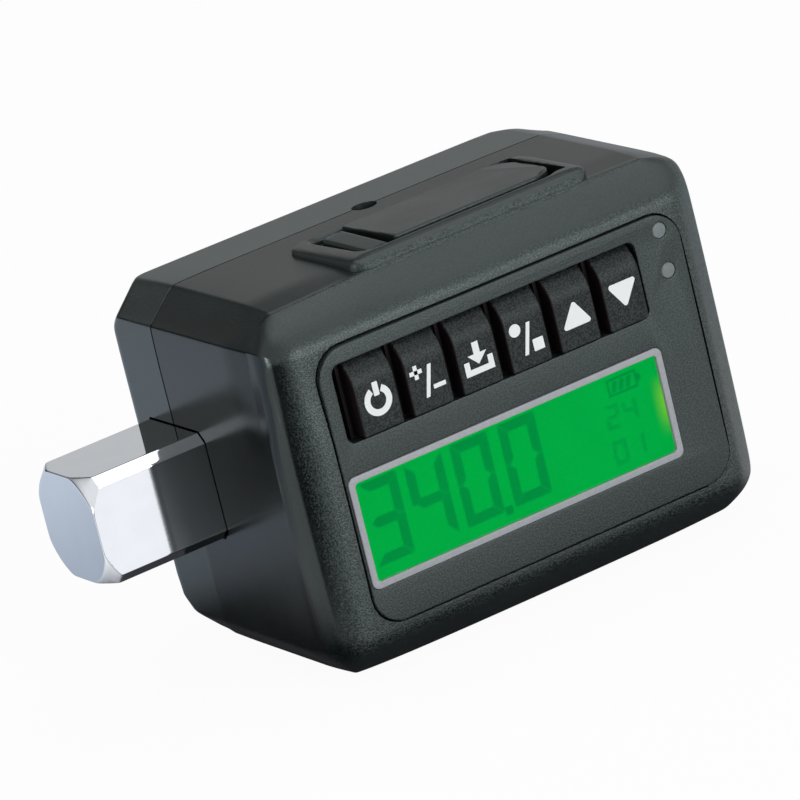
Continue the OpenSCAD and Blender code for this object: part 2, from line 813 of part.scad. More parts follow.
// A short open ring under the top wall that holds the buzzer
module buzzer_seat() {
  intersection() {
    rear_half();
    translate([sound_x, buzzer_r / 3, inner_top - buzzer_h]) difference() {
      cylinder(r = buzzer_r + cradle_wall + cell_gap, h = buzzer_h + wall / 2);
      translate([0, 0, -over]) cylinder(r = buzzer_r + cell_gap, h = buzzer_h + case_h);
    }
    case_outside();
  }
}

module buzzer() {
  color([0.1, 0.1, 0.1]) placed() translate([sound_x, buzzer_r / 3, inner_top - shoulder_drop - buzzer_h])
    difference() {
      cylinder(r = buzzer_r, h = buzzer_h);
      translate([0, -buzzer_r / 3, buzzer_h / 2]) cylinder(r = sound_r / 2, h = buzzer_h);
    }
}

module front_panel() {
  color([0.25, 0.28, 0.28]) placed() difference() {
    along_y(front_y, panel_back) translate([panel_left, panel_low]) round_rect(panel_w, panel_h, panel_r);
    along_y(front_y - over, panel_back + over) {
      translate([window_x, window_z]) round_rect(window_w, window_h, window_r);
      translate([recess_x, recess_low_z]) round_rect(recess_w, recess_h, recess_r);
    }
    lamp_pair(front_y - over, panel_back + over, lamp_r + lamp_gap);
  }
}

module lens_border() {
  color([0.59, 0.6, 0.64]) placed() difference() {
    along_y(front_y - border_out, panel_back) translate([window_x, window_z])
      round_rect(window_w, window_h, window_r);
    along_y(front_y - over, panel_back + over) translate([view_x, view_z])
      round_rect(view_w, view_h, window_r / 2);
  }
}

module lcd_lens() {
  color([0.8, 0.95, 0.85, 0.4]) placed() along_y(front_y, lens_back)
    translate([view_x, view_z]) round_rect(view_w, view_h, window_r / 2);
}

module lcd_cell() {
  color([0, 0.55, 0.24]) placed() span([open_left + flange_gap, cell_front, window_z],
    [window_x + window_w, cell_back, window_z + window_h]);
}

module lcd_backlight() {
  color([0.2, 0.9, 0.4]) placed() span([open_left + zebra_w, cell_back, window_z + zebra_w],
    [window_x + window_w - zebra_w, board_front, window_z + window_h - zebra_w]);
}

module zebra_strips() {
  color([0.85, 0.5, 0.6]) placed() for (z = [window_z, window_z + window_h - zebra_w])
    span([open_left + zebra_w, cell_back, z], [window_x + window_w - zebra_w, board_front, z + zebra_w]);
}

// One key: the cap with its sloped top, and the flange that keeps it in
module key(number) {
  x = first_key_x + number * key_pitch;
  color([0.18, 0.2, 0.2]) placed() {
    along_x(x, x + key_w) polygon(rounded([
      [key_face, key_low_z, key_edge_r],
      [flange_back, key_low_z, 0],
      [flange_back, key_top_z, 0],
      [key_face + key_slope_depth, key_top_z, key_edge_r],
      [key_face, key_top_z - key_slope_h, key_slope_h / 2]]));
    span([x - flange_out, flange_front, key_low_z - key_gap - flange_out],
         [x + key_w + flange_out, flange_back, key_top_z + key_gap + flange_out]);
  }
}

module clear_key() { key(0); }
module unit_key() { key(1); }
module memory_key() { key(2); }
module mode_key() { key(3); }
module up_key() { key(4); }
module down_key() { key(5); }

// Centre of each key, for what lies under it
module under_keys() {
  for (i = [0:key_count - 1]) translate([first_key_x + i * key_pitch + key_w / 2, 0, recess_mid_z]) children();
}

module keypad_mat() {
  color([0.15, 0.12, 0.12]) placed() {
    span([open_left + flange_gap, mat_front, recess_low_z - flange_out],
         [recess_x + recess_w + flange_out, mat_back, recess_top_z + flange_gap]);
    under_keys() rod_y(mat_back, board_front - dome_h - post_gap, post_r);
    // Feet at both ends stand on the board
    for (x = [open_left + flange_gap, recess_x + recess_w + flange_out - mat_t])
      span([x, mat_back, recess_low_z], [x + mat_t, board_front, recess_top_z]);
  }
}

module dome_switches() {
  color([0.8, 0.8, 0.82]) placed() under_keys() rod_y(board_front - dome_h, board_front, dome_r);
}

// The two indicator places, from y0 to y1
module lamp_pair(y0, y1, r) {
  for (i = [0, 1]) translate([lamp_x, 0, lamp_z - i * lamp_pitch]) rod_y(y0, y1, r);
}

module light_pipes() {
  color([0.45, 0.49, 0.5]) placed() lamp_pair(front_y, board_front - led_h, lamp_r);
}

module indicator_leds() {
  color([0.9, 0.9, 0.8]) placed() for (i = [0, 1])
    translate([lamp_x, board_front - led_h, lamp_z - i * lamp_pitch])
      translate([-led_size / 2, 0, -led_size / 2]) cube([led_size, led_h, led_size]);
}

module main_board() {
  color([0.05, 0.35, 0.2]) placed() difference() {
    span([board_left, board_front, -board_half], [board_right, board_back, board_half]);
    for (p = board_places) translate([p.x, 0, p.y])
      rod_y(board_front - over, board_back + over, board_screw_r + screw_gap);
  }
}

module board_screws() {
  color([0.6, 0.6, 0.62]) placed() for (p = board_places) translate([p.x, 0, p.y]) {
    rod_y(board_front - board_screw_len, board_back, board_screw_r);
    rod_y(board_back, board_back + board_head_h, board_head_r);
  }
}

module controller_chip() {
  color([0.08, 0.08, 0.08]) placed() translate([case_len / 2 - chip_w, board_back, -chip_w * 3 / 2])
    cube([chip_w, chip_h, chip_w]);
}

module amplifier_chip() {
  color([0.08, 0.08, 0.08]) placed() translate([case_len / 2 + chip_w / 2, board_back, -chip_w])
    cube([amp_len, chip_h, amp_w]);
}

module board_capacitors() {
  color([0.7, 0.7, 0.72]) placed() for (place = [1, 2])
    translate([board_left + cap_pitch * place, 0, 0]) rod_y(board_back, board_back + cap_h, cap_r);
}

module battery_cells() {
  color([0.75, 0.75, 0.78]) placed() translate([0, -cell_depth, cell_up]) {
    rod_x(stack_x, stack_x + cell_len - pin_gap, cell_r);
    rod_x(stack_x + cell_len, stack_right, cell_r);
  }
}

// A trough under the cells, two end walls and a back wall up to the top of the case
module battery_cradle() {
  right = stack_right + contact_t;
  low = cell_up - cradle_out_r;
  back = cell_r + cell_gap - cell_depth;
  color([0.13, 0.14, 0.14]) placed() difference() {
    intersection() {
      span([cradle_x, cradle_front, low], [right + cradle_wall, back + cradle_wall, inner_top]);
      union() {
        difference() {
          translate([0, -cell_depth, cell_up]) rod_x(cradle_x, right + cradle_wall, cradle_out_r);
          translate([0, -cell_depth, cell_up]) rod_x(cradle_x + cradle_wall, right, cradle_in_r);
          span([cradle_x + cradle_wall, -front_depth, cell_up], [right, 0, half_h]);
        }
        span([cradle_x, -hole_front, cell_up], [cradle_x + cradle_wall, 0, inner_top]);
        span([right, -hole_front, cell_up], [right + cradle_wall, 0, inner_top]);
        span([cradle_x, back, cell_up], [right + cradle_wall, 0, inner_top]);
      }
    }
    rod_x(0, case_len, socket_bore);
  }
}

module contact_plate() {
  color([0.8, 0.7, 0.4]) placed() translate([0, -cell_depth, cell_up])
    rod_x(stack_right, stack_right + contact_t, contact_r);
}

// A sprung contact, drawn as a stepped solid
module contact_spring() {
  color([0.8, 0.7, 0.4]) placed() translate([0, -cell_depth, cell_up]) {
    rod_x(stack_x - contact_len, stack_x - contact_len / 2, contact_r);
    rod_x(stack_x - contact_len / 2, stack_x, contact_r / 2);
  }
}

module battery_door() {
  color([0.2, 0.22, 0.22]) placed() difference() {
    union() {
      intersection() {
        translate([door_x, door_front, 0]) linear_extrude(case_h) polygon(rounded([
          [0, 0, edge_r / 2], [door_right - door_x, 0, door_r],
          [door_right - door_x, door_back - door_front, door_r],
          [0, door_back - door_front, edge_r / 2]]));
        frame_slope(door_gap);
        span([door_x, -hole_front, door_low], [door_right, -hole_back, case_h]);
      }
      intersection() {
        translate([pin_x, 0, pin_z]) rod_y(door_front, door_back, pin_boss_r);
        span([0, -hole_front, 0], [case_len, -hole_back, pin_z]);
      }
      // Guides on both sides of the latch
      for (y = [latch_mid - latch_w / 2 - latch_gap - guide_w, latch_mid + latch_w / 2 + latch_gap])
        span([door_x, y, latch_top - latch_t], [latch_x + latch_len, y + guide_w, door_low]);
    }
    translate([pin_x, 0, pin_z]) rod_y(-hole_front, -hole_back, pin_r + pin_gap);
  }
}

module door_latch() {
  color([0.22, 0.24, 0.24]) placed() {
    span([latch_x, latch_mid - latch_w / 2, latch_top - latch_t],
         [latch_x + latch_len, latch_mid + latch_w / 2, latch_top]);
    along_pad() polygon([[0, 0], [pad_len, 0], [pad_len, pad_rise], [0, pad_low]]);
  }
}

// The finger pad's wedge, across the finger window
module along_pad() {
  margin = door_gap + latch_gap;
  translate([pad_x, -finger_back - margin, latch_top]) rotate([90, 0, 0])
    linear_extrude(hole_front - finger_back - margin - margin) children();
}

module hinge_pin() {
  color([0.7, 0.71, 0.73]) placed() translate([pin_x, 0, pin_z])
    rod_y(-hole_front - pin_in, pin_in - hole_back, pin_r);
}

module torque_shaft() {
  color([0.8, 0.82, 0.85]) placed() difference() {
    union() {
      intersection() {
        along_x(-square_len, bush_x) square_section(square_af, square_bevel);
        // Body of revolution that tapers the tip of the square
        rotate([0, 90, 0]) rotate_extrude() polygon([[0, -square_len], [tip_r, -square_len],
          [square_af, tip_len * (square_af - tip_r) / (square_af / sqrt(2) - tip_r) - square_len],
          [square_af, bush_x], [0, bush_x]]);
      }
      rod_x(bush_x, journal_end, journal_r);
      difference() {
        rod_x(journal_end, socket_start, gauge_r);
        for (turn = [0:90:270]) rotate([turn, 0, 0])
          span([gauge_mid - patch_len, gauge_flat, -gauge_r], [gauge_mid + patch_len, gauge_r + over, gauge_r]);
      }
      rod_x(socket_start, socket_end, socket_r);
    }
    along_x(socket_end - socket_depth, socket_end + over) square(socket_af, center = true);
    // Lead-in at the mouth of the socket
    translate([socket_end - tip_len / 2, 0, 0]) rotate([0, 90, 0])
      cylinder(r1 = socket_af / 2, r2 = socket_af / 2 + tip_len / 2 + over / 2, h = tip_len / 2 + over / 2);
    // Groove for the ball of the tool that plugs in
    rod_x(socket_end - socket_depth / 2 - ball_r / 2, socket_end - socket_depth / 2 + ball_r / 2,
          socket_af / 2 + ball_out / 2);
    // Pocket for the detent ball and its spring, with a round seat that keeps the ball in
    translate([ball_x, 0, ball_z]) {
      sphere(ball_r + ball_gap);
      cylinder(r = ball_r + ball_gap, h = ball_spring_z + ball_spring_len - ball_z);
    }
    // Groove for the retaining ring
    difference() {
      rod_x(ring_x, ring_x + ring_t, socket_r + over);
      rod_x(ring_x - over, ring_x + ring_t + over, socket_r - ring_in);
    }
  }
}

module strain_gauges() {
  color([0.85, 0.6, 0.25]) placed() for (turn = [0:90:270]) rotate([turn, 0, 0])
    span([gauge_mid - patch_len / 2, gauge_flat, -patch_w / 2],
         [gauge_mid + patch_len / 2, gauge_flat + patch_t, patch_w / 2]);
}

// A flat lead from the front gauge to the back of the board, with a step in it
module sensor_lead() {
  step_y = (board_back - gauge_flat - patch_t) / 2;
  x0 = gauge_mid;
  x1 = gauge_mid + lead_w;
  near = board_back;
  far = -gauge_flat - patch_t;
  color([0.85, 0.55, 0.2]) placed() along_z(-lead_w / 2, lead_w / 2) polygon([
    [x0, far], [x0, step_y], [x1, step_y], [x1, near], [x1 + lead_t, near],
    [x1 + lead_t, step_y + lead_t], [x0 + lead_t, step_y + lead_t], [x0 + lead_t, far]]);
}

module along_z(z0, z1) {
  translate([0, 0, z0]) linear_extrude(z1 - z0) children();
}

module bush(x, r) {
  color([0.9, 0.9, 0.85]) placed() difference() {
    rod_x(x, x + bush_len, r + bush_wall);
    rod_x(x - over, x + bush_len + over, r);
  }
}

module drive_bush() { bush(bush_x, journal_r); }
module socket_bush() { bush(socket_bush_x, socket_r); }

module retaining_ring() {
  color([0.3, 0.3, 0.32]) placed() difference() {
    rod_x(ring_x, ring_x + ring_t, socket_r + ring_out);
    rod_x(ring_x - over, ring_x + ring_t + over, socket_r - ring_in);
    span([ring_x - over, -ring_gap / 2, -socket_r - ring_out - over], [ring_x + ring_t + over, ring_gap / 2, 0]);
  }
}

module shaft_seal() {
  color([0.05, 0.05, 0.05]) placed() translate([seal_x, 0, 0]) rotate([0, 90, 0])
    rotate_extrude() translate([seal_mid_r, 0]) circle(seal_r);
}

module detent_ball() {
  color([0.85, 0.86, 0.88]) placed() translate([ball_x, 0, ball_z]) sphere(ball_r);
}

// The detent spring, drawn as a plain sleeve of its outer size
module detent_spring() {
  color([0.6, 0.6, 0.62]) placed() translate([ball_x, 0, ball_spring_z]) difference() {
    cylinder(r = ball_spring_r, h = ball_spring_len);
    translate([0, 0, -over]) cylinder(r = ball_spring_hole, h = ball_spring_len + over + over);
  }
}

module case_screws() {
  color([0.25, 0.25, 0.27]) placed() for (p = screw_places) translate([p.x, 0, p.y]) difference() {
    union() {
      rod_y(-thread_len, head_y, screw_r);
      rod_y(head_y, head_y + head_h, head_r);
    }
    translate([0, head_y + head_h + over, 0]) rotate([90, 0, 0])
      cylinder(d = hex_af * 2 / sqrt(3), h = hex_depth + over, $fn = 6);
  }
}

front_shell();
rear_shell();
front_panel();
lens_border();
lcd_lens();
lcd_cell();
lcd_backlight();
zebra_strips();
clear_key();
unit_key();
memory_key();
mode_key();
up_key();
down_key();
keypad_mat();
dome_switches();
light_pipes();
indicator_leds();
main_board();
board_screws();
controller_chip();
amplifier_chip();
board_capacitors();
buzzer();
battery_cells();
battery_cradle();
contact_plate();
contact_spring();
battery_door();
door_latch();
hinge_pin();
torque_shaft();
strain_gauges();
sensor_lead();
drive_bush();
socket_bush();
retaining_ring();
shaft_seal();
detent_ball();
detent_spring();
case_screws();
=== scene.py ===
"""Dresses the digital torque adapter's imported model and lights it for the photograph's view.

Sizes are in millimetres in the drive axis's frame: x = 0 on the case's drive end, y = 0 and z = 0
on the drive axis, the display towards -y and the battery door towards +z.
"""
import json
import logging
import math
from dataclasses import dataclass
from enum import Enum
from typing import Callable, Iterable, Sequence

import bmesh
import bpy
import numpy as np
from mathutils import Matrix, Vector
from mathutils.geometry import tessellate_polygon

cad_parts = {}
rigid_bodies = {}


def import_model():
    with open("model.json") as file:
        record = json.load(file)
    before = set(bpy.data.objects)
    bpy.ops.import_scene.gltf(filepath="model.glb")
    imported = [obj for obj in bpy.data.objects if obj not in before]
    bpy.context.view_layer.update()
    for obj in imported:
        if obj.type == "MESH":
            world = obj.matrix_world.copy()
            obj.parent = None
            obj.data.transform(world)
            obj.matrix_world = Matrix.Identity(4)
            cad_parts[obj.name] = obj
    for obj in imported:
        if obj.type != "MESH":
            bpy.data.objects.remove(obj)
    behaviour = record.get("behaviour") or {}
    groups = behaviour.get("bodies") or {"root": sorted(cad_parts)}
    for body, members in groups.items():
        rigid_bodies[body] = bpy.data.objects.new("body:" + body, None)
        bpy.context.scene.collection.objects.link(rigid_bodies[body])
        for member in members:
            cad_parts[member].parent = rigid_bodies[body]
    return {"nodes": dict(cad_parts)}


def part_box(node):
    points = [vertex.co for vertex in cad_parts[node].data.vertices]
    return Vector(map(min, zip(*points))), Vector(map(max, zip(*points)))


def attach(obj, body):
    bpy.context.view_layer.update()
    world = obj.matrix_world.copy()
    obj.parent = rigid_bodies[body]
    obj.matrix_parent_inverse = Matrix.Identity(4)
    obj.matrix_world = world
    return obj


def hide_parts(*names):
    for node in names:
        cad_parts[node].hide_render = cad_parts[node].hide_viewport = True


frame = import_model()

LOG = logging.getLogger("torque_adapter")
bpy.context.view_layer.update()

MM = 0.001
AXIS = np.array([-22.55, 5.4, 21.75])  # where the drive axis's frame lies in the row's frame
LARGEST_CURVED = 12e-6  # a face of more square metres than this is a flat
GRADIENT_STEP = 0.01  # how far, in millimetres, a field is sampled for its slope
FOLLOWS = 0.82  # cosine of the most that a face leans from the field that it follows
Array = np.ndarray
Colour = tuple[int, int, int]
Point = tuple[float, float, float]


# Surfaces, as numpy grids and fields


@dataclass(frozen=True)
class Skin:
    """Vertices in millimetres, and faces, of one closed surface or several."""

    verts: Array
    faces: list[tuple[int, ...]]

    @staticmethod
    def join(skins: Sequence["Skin"]) -> "Skin":
        """Returns one skin that holds them all."""
        faces: list[tuple[int, ...]] = []
        start = 0
        for skin in skins:
            faces += [tuple(i + start for i in face) for face in skin.faces]
            start += len(skin.verts)
        return Skin(np.concatenate([skin.verts for skin in skins]), faces)

    def mesh(self, name: str) -> bpy.types.Mesh:
        """Makes a Blender mesh in the row frame, with doubles merged and faces outwards."""
        data = bpy.data.meshes.new(name)
        data.from_pydata(((self.verts + AXIS) * MM).tolist(), [], self.faces)
        return cleaned(data)


def cleaned(data: bpy.types.Mesh) -> bpy.types.Mesh:
    """Merges a mesh's doubles and turns its faces outwards.

    Args:
        data: the mesh, changed in place.

    Returns:
        The same mesh.
    """
    work = bmesh.new()
    work.from_mesh(data)
    bmesh.ops.remove_doubles(work, verts=work.verts, dist=1e-7)
    bmesh.ops.dissolve_degenerate(work, dist=1e-8, edges=work.edges)
    bmesh.ops.recalc_face_normals(work, faces=work.faces)
    work.to_mesh(data)
    work.free()
    return data


def grid(points: Array, round_cols: bool = False, round_rows: bool = False) -> Skin:
    """Joins a grid of points, rows by columns, with quads.

    Args:
        points: array of rows x columns x 3.
        round_cols: whether the last column joins the first.
        round_rows: whether the last row joins the first.

    Returns:
        The skin of the grid.
    """
    rows, cols = points.shape[:2]
    index = np.arange(rows * cols).reshape(rows, cols)
    if round_cols:
        index = np.concatenate([index, index[:, :1]], axis=1)
    if round_rows:
        index = np.concatenate([index, index[:1]], axis=0)
    quads = np.stack([index[:-1, :-1], index[:-1, 1:], index[1:, 1:], index[1:, :-1]], axis=-1)
    return Skin(points.reshape(-1, 3), [tuple(q) for q in quads.reshape(-1, 4).tolist()])


def spaced(low: float, high: float, fine: float, coarse: float, margin: float) -> Array:
    """Places along a line, fine within margin of both ends and coarse between them."""
    span = min(margin, (high - low) / 2)
    ends = np.linspace(0, span, max(2, int(round(span / fine)) + 1))
    middle = np.linspace(low + span, high - span, max(2, int(round((high - low - 2 * span) / coarse)) + 1))
    return np.unique(np.round(np.concatenate([low + ends, middle, high - ends]), 6))


# A field is below zero inside a solid and grows outwards, about one per millimetre.
Field = Callable[[Array], Array]


def softest(fields: Sequence[Array], blend: float | Array) -> Array:
    """The smooth maximum of several fields, blend x log(sum(exp(field / blend))), whose edges
    are rounded to a radius of about 2.4 times blend."""
    stack = np.stack(fields)
    top = stack.max(axis=0)
    return top + blend * np.log(np.exp((stack - top) / blend).sum(axis=0))


def outline_field(corners: Sequence[tuple[float, float, float]], without: Sequence[int] = (),
                  steps: int = 9) -> Field:
    """A convex outline with rounded corners, as the largest of its tangent lines' distances.

    Args:
        corners: x, y and rounding radius of each corner, anticlockwise.
        without: coordinates whose own flats another outline already gives.
        steps: tangent lines round each corner.

    Returns:
        The field of the outline over points of two coordinates.
    """
    points = np.array([c[:2] for c in corners])
    edges = np.roll(points, -1, axis=0) - points
    edges /= np.linalg.norm(edges, axis=1, keepdims=True)
    outward = np.stack([edges[:, 1], -edges[:, 0]], axis=1)
    before = np.roll(outward, 1, axis=0)
    radius = np.array([c[2] for c in corners])[:, None]
    centre = points - (before + outward) * radius / (1 + (before * outward).sum(axis=1, keepdims=True))
    across = before[:, 0] * outward[:, 1] - before[:, 1] * outward[:, 0]
    turn = np.arctan2(across, (before * outward).sum(axis=1))
    share = np.linspace(0, 1, steps)
    angle = np.arctan2(before[:, 1], before[:, 0])[:, None] + turn[:, None] * share
    normals = np.stack([np.cos(angle), np.sin(angle)], axis=-1)
    offsets = (normals * centre[:, None]).sum(axis=-1) + radius
    normals, offsets = normals.reshape(-1, 2), offsets.reshape(-1)
    kept = np.all([np.abs(normals[:, i]) < 0.99999 for i in without], axis=0) | np.zeros(len(normals), bool)
    normals, offsets = normals[kept], offsets[kept]

    def field(p: Array) -> Array:
        """The distance beyond the outline."""
        return (p @ normals.T - offsets).max(axis=-1)

    return field


@dataclass(frozen=True)
class SoftSolid:
    """A solid given by a field and seen whole from its centre. Its skin is the box grid, cast
    from the centre until the field is zero: p = centre + t (box point - centre)."""

    field: Field
    centre: tuple[float, float, float]
    marks: tuple[Array, Array, Array]

    def skin(self) -> Skin:
        """Returns the closed surface where the field is zero."""
        centre = np.array(self.centre)
        sides: list[Skin] = []
        for axis in range(3):
            first, second = [a for a in range(3) if a != axis]
            a, b = np.meshgrid(self.marks[first], self.marks[second], indexing="ij")
            for end in (0, -1):
                points = np.empty(a.shape + (3,))
                points[..., first], points[..., second] = a, b
                points[..., axis] = self.marks[axis][end]
                sides.append(grid(points))
        box = Skin.join(sides)
        ray = box.verts - centre
        near, far = np.zeros(len(ray)), np.full(len(ray), 2.0)
        for _ in range(32):
            middle = (near + far) / 2
            inside = self.field(centre + ray * middle[:, None]) < 0
            near, far = np.where(inside, middle, near), np.where(inside, far, middle)
        return Skin(np.round(centre + ray * ((near + far) / 2)[:, None], 6), box.faces)


def shaded_by(data: bpy.types.Mesh, fields: Sequence[Field], reach: float = 0.03) -> None:
    """Gives the corners of faces that lie on a field's surface the field's own direction there.

    The direction is the field's gradient by central differences, (f(p + h) - f(p - h)) / 2h. A
    corner whose face leans more than about 35 degrees from it keeps the mesh's own normal, and
    the corners of large flats all face as the flat does.

    Args:
        data: a mesh in the row frame.
        fields: the fields that its surfaces follow.
        reach: how far from a field's surface, in millimetres, a corner still belongs to it.
    """
    corner = np.empty(len(data.loops), int)
    data.loops.foreach_get("vertex_index", corner)
    places = np.empty(len(data.vertices) * 3)
    data.vertices.foreach_get("co", places)
    points = places.reshape(-1, 3) / MM - AXIS
    facing, sides = np.empty(len(data.polygons) * 3), np.empty(len(data.polygons), int)
    area = np.empty(len(data.polygons))
    data.polygons.foreach_get("area", area)
    data.polygons.foreach_get("normal", facing)
    data.polygons.foreach_get("loop_total", sides)
    facing = np.repeat(facing.reshape(-1, 3), sides, axis=0)
    small = np.repeat(area < LARGEST_CURVED, sides)
    normals = np.zeros((len(corner), 3))
    for field in fields:
        near = np.abs(field(points)) < reach
        here = points[near]
        slope = np.stack([field(here + h) - field(here - h) for h in np.eye(3) * GRADIENT_STEP], axis=1)
        slope /= np.maximum(np.linalg.norm(slope, axis=1, keepdims=True), 1e-9)
        whole = np.zeros_like(points)
        whole[near] = slope
        own = whole[corner]
        follows = ((own * facing).sum(axis=1) > FOLLOWS) & small
        normals[follows] = own[follows]
    normals[~small] = facing[~small]
    data.normals_split_custom_set(normals.tolist())


@dataclass(frozen=True)
class Loop:
    """A closed outline of a plate, anticlockwise seen from the front, in x and z."""

    points: Array

    @staticmethod
    def rounded(corners: Sequence[tuple[float, float, float]], steps: int = 10) -> "Loop":
        """An outline whose corners, x, z and radius, are rounded with arcs of so many steps."""
        spots = np.array([c[:2] for c in corners], float)
        result: list[Array] = []
        for i, (x, z, radius) in enumerate(corners):
            p, a, b = spots[i], spots[i - 1], spots[(i + 1) % len(spots)]
            if radius <= 0:
                result.append(p[None])
                continue
            u, v = (a - p) / np.linalg.norm(a - p), (b - p) / np.linalg.norm(b - p)
            half = math.acos(float(np.clip(u @ v, -1, 1))) / 2
            centre = p + (u + v) / np.linalg.norm(u + v) * radius / math.sin(half)
            start, end = p + u * radius / math.tan(half) - centre, p + v * radius / math.tan(half) - centre
            first = math.atan2(start[1], start[0])
            turn = math.atan2(start[0] * end[1] - start[1] * end[0], float(start @ end))
            angle = first + turn * np.linspace(0, 1, steps + 1)
            result.append(centre + radius * np.stack([np.cos(angle), np.sin(angle)], axis=1))
        return Loop(np.concatenate(result))

    @staticmethod
    def box(x0: float, z0: float, x1: float, z1: float, radius: float) -> "Loop":
        """A rectangle between two corners, with rounded corners."""
        return Loop.rounded([(x0, z0, radius), (x1, z0, radius), (x1, z1, radius), (x0, z1, radius)])

    @staticmethod
    def circle(x: float, z: float, radius: float, steps: int = 40) -> "Loop":
        """A circle about a centre."""
        angle = np.linspace(0, 2 * math.pi, steps, endpoint=False)
        return Loop(np.stack([x + radius * np.cos(angle), z + radius * np.sin(angle)], axis=1))

    def grown(self, by: float) -> Array:
        """The outline's points moved outwards along the mitre of their two edges."""
        edge = np.roll(self.points, -1, axis=0) - self.points
        edge /= np.linalg.norm(edge, axis=1, keepdims=True)
        after = np.stack([edge[:, 1], -edge[:, 0]], axis=1)
        before = np.roll(after, 1, axis=0)
        return self.points + by * (before + after) / (1 + (before * after).sum(axis=1, keepdims=True))


@dataclass(frozen=True)
class Plate:
    """A flat plate that faces -y, with holes and rounded front edges. Its rims carry a quarter
    circle, inset = edge (1 - sin a) and depth = edge (1 - cos a), along each outline."""

    outer: Loop
    front: float
    back: float
    edge: float
    holes: tuple[Loop, ...] = ()
    steps: int = 4

    def skin(self) -> Skin:
        """Returns the closed surface of the plate."""
        angle = np.linspace(0, math.pi / 2, self.steps + 1)
        inset = np.append(self.edge * (1 - np.sin(angle)), 0)
        depth = np.append(self.front + self.edge * (1 - np.cos(angle)), self.back)
        rims, fronts, backs = [], [], []
        for loop, sign in [(self.outer, -1)] + [(hole, 1) for hole in self.holes]:
            rows = np.stack([loop.grown(sign * by) for by in inset])
            points = np.empty(rows.shape[:2] + (3,))
            points[..., 0], points[..., 2] = rows[..., 0], rows[..., 1]
            points[..., 1] = depth[:, None]
            rims.append(grid(points, round_cols=True))
            fronts.append(points[0])
            backs.append(points[-1])
        return Skin.join(rims + [self._filled(fronts), self._filled(backs)])

    @staticmethod
    def _filled(loops: Sequence[Array]) -> Skin:
        """Fills an outline and its holes with triangles."""
        flat = [[Vector((p[0], p[2], 0)) for p in loop] for loop in loops]
        return Skin(np.concatenate(loops), [tuple(t) for t in tessellate_polygon(flat)])


def lathe(profile: Sequence[tuple[float, float]], axis: str, centre: tuple[float, float, float],
          steps: int = 64) -> Skin:
    """Turns a profile of radius and height about an axis, (r cos a, r sin a, h).

    Args:
        profile: radius and height of each point, from one end to the other.
        axis: "x", "y" or "z".
        centre: where radius and height are zero.
        steps: columns round the axis.

    Returns:
        The turned skin. A profile that ends on the axis closes there.
    """
    angle = np.linspace(0, 2 * math.pi, steps, endpoint=False)
    radius, height = (np.array([p[i] for p in profile], float)[:, None] for i in (0, 1))
    ring = [radius * np.cos(angle), radius * np.sin(angle), height + 0 * angle]
    order = {"x": (2, 0, 1), "y": (1, 2, 0), "z": (0, 1, 2)}[axis]
    return grid(np.stack([ring[i] for i in order], axis=-1) + np.array(centre), round_cols=True)


# Objects in the scene


class Pieces:
    """Makes, dresses and reports the scene's objects."""

    @staticmethod
    def add(data: bpy.types.Mesh, name: str, body: str, finish: "Finish", slot: str,
            replaced: Sequence[str] = (), angle: float = 32,
            fields: Sequence[Field] = ()) -> bpy.types.Object:
        """Puts a mesh in the scene as a piece of the object.

        Args:
            data: the mesh, in the row frame.
            name: the piece's name.
            body: the CAD body that it rides on.
            finish: what it is made of.
            slot: the record's slot of that finish; not used.
            replaced: CAD nodes that it stands for.
            angle: edges sharper than this many degrees stay sharp.
            fields: what its rounded surfaces follow, for their normals.

        Returns:
            The new object.
        """
        data.shade_smooth()
        data.set_sharp_from_angle(angle=math.radians(angle))
        if fields:
            shaded_by(data, fields)
        data.materials.clear()
        data.materials.append(finish.material())
        obj = bpy.data.objects.new(name, data)
        bpy.context.scene.collection.objects.link(obj)
        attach(obj, body)
        if replaced:
            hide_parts(*replaced)
        LOG.info("%s: %d faces on %s", name, len(data.polygons), body)
        return obj

    @staticmethod
    def dress(finish: "Finish", *nodes: str) -> None:
        """Gives CAD nodes that stay their finish."""
        for node in nodes:
            obj = frame["nodes"][node]
            obj.data.materials.clear()
            obj.data.materials.append(finish.material())
            LOG.info("%s: CAD node dressed", node)

    @staticmethod
    def cad_copy(node: str) -> bpy.types.Mesh:
        """A merged copy of a CAD node's mesh."""
        data = frame["nodes"][node].data.copy()
        return cleaned(data)

    @staticmethod
    def combine(first: bpy.types.Mesh, second: bpy.types.Mesh, operation: str) -> bpy.types.Mesh:
        """Joins, cuts or intersects two closed meshes, by Blender's exact solver.

        Args:
            first: the mesh that is kept or cut.
            second: the other mesh.
            operation: UNION, DIFFERENCE or INTERSECT.

        Returns:
            A new mesh.
        """
        scene = bpy.context.scene.collection.objects
        target, tool = bpy.data.objects.new("target", first), bpy.data.objects.new("tool", second)
        scene.link(target)
        scene.link(tool)
        cut = target.modifiers.new("cut", "BOOLEAN")
        cut.operation, cut.object, cut.solver = operation, tool, "EXACT"
        bpy.context.view_layer.update()
        shown = target.evaluated_get(bpy.context.evaluated_depsgraph_get())
        data = bpy.data.meshes.new_from_object(shown)
        bpy.data.objects.remove(target)
        bpy.data.objects.remove(tool)
        return data


# Shaders and finishes


def linear(colour: Colour) -> tuple[float, float, float, float]:
    """A colour of 0 to 255 as Blender's linear values, with alpha."""
    share = [c / 255 for c in colour]
    parts = [c / 12.92 if c <= 0.04045 else ((c + 0.055) / 1.055) ** 2.4 for c in share]
    return (parts[0], parts[1], parts[2], 1.0)


def speckle(base: tuple[float, float, float, float], share: float) -> tuple[float, float, float, float]:
    """A linear colour times share, drawn halfway towards grey."""
    grey = sum(base[:3]) / 3
    parts = [(c + grey) / 2 * share for c in base[:3]]
    return (parts[0], parts[1], parts[2], 1.0)


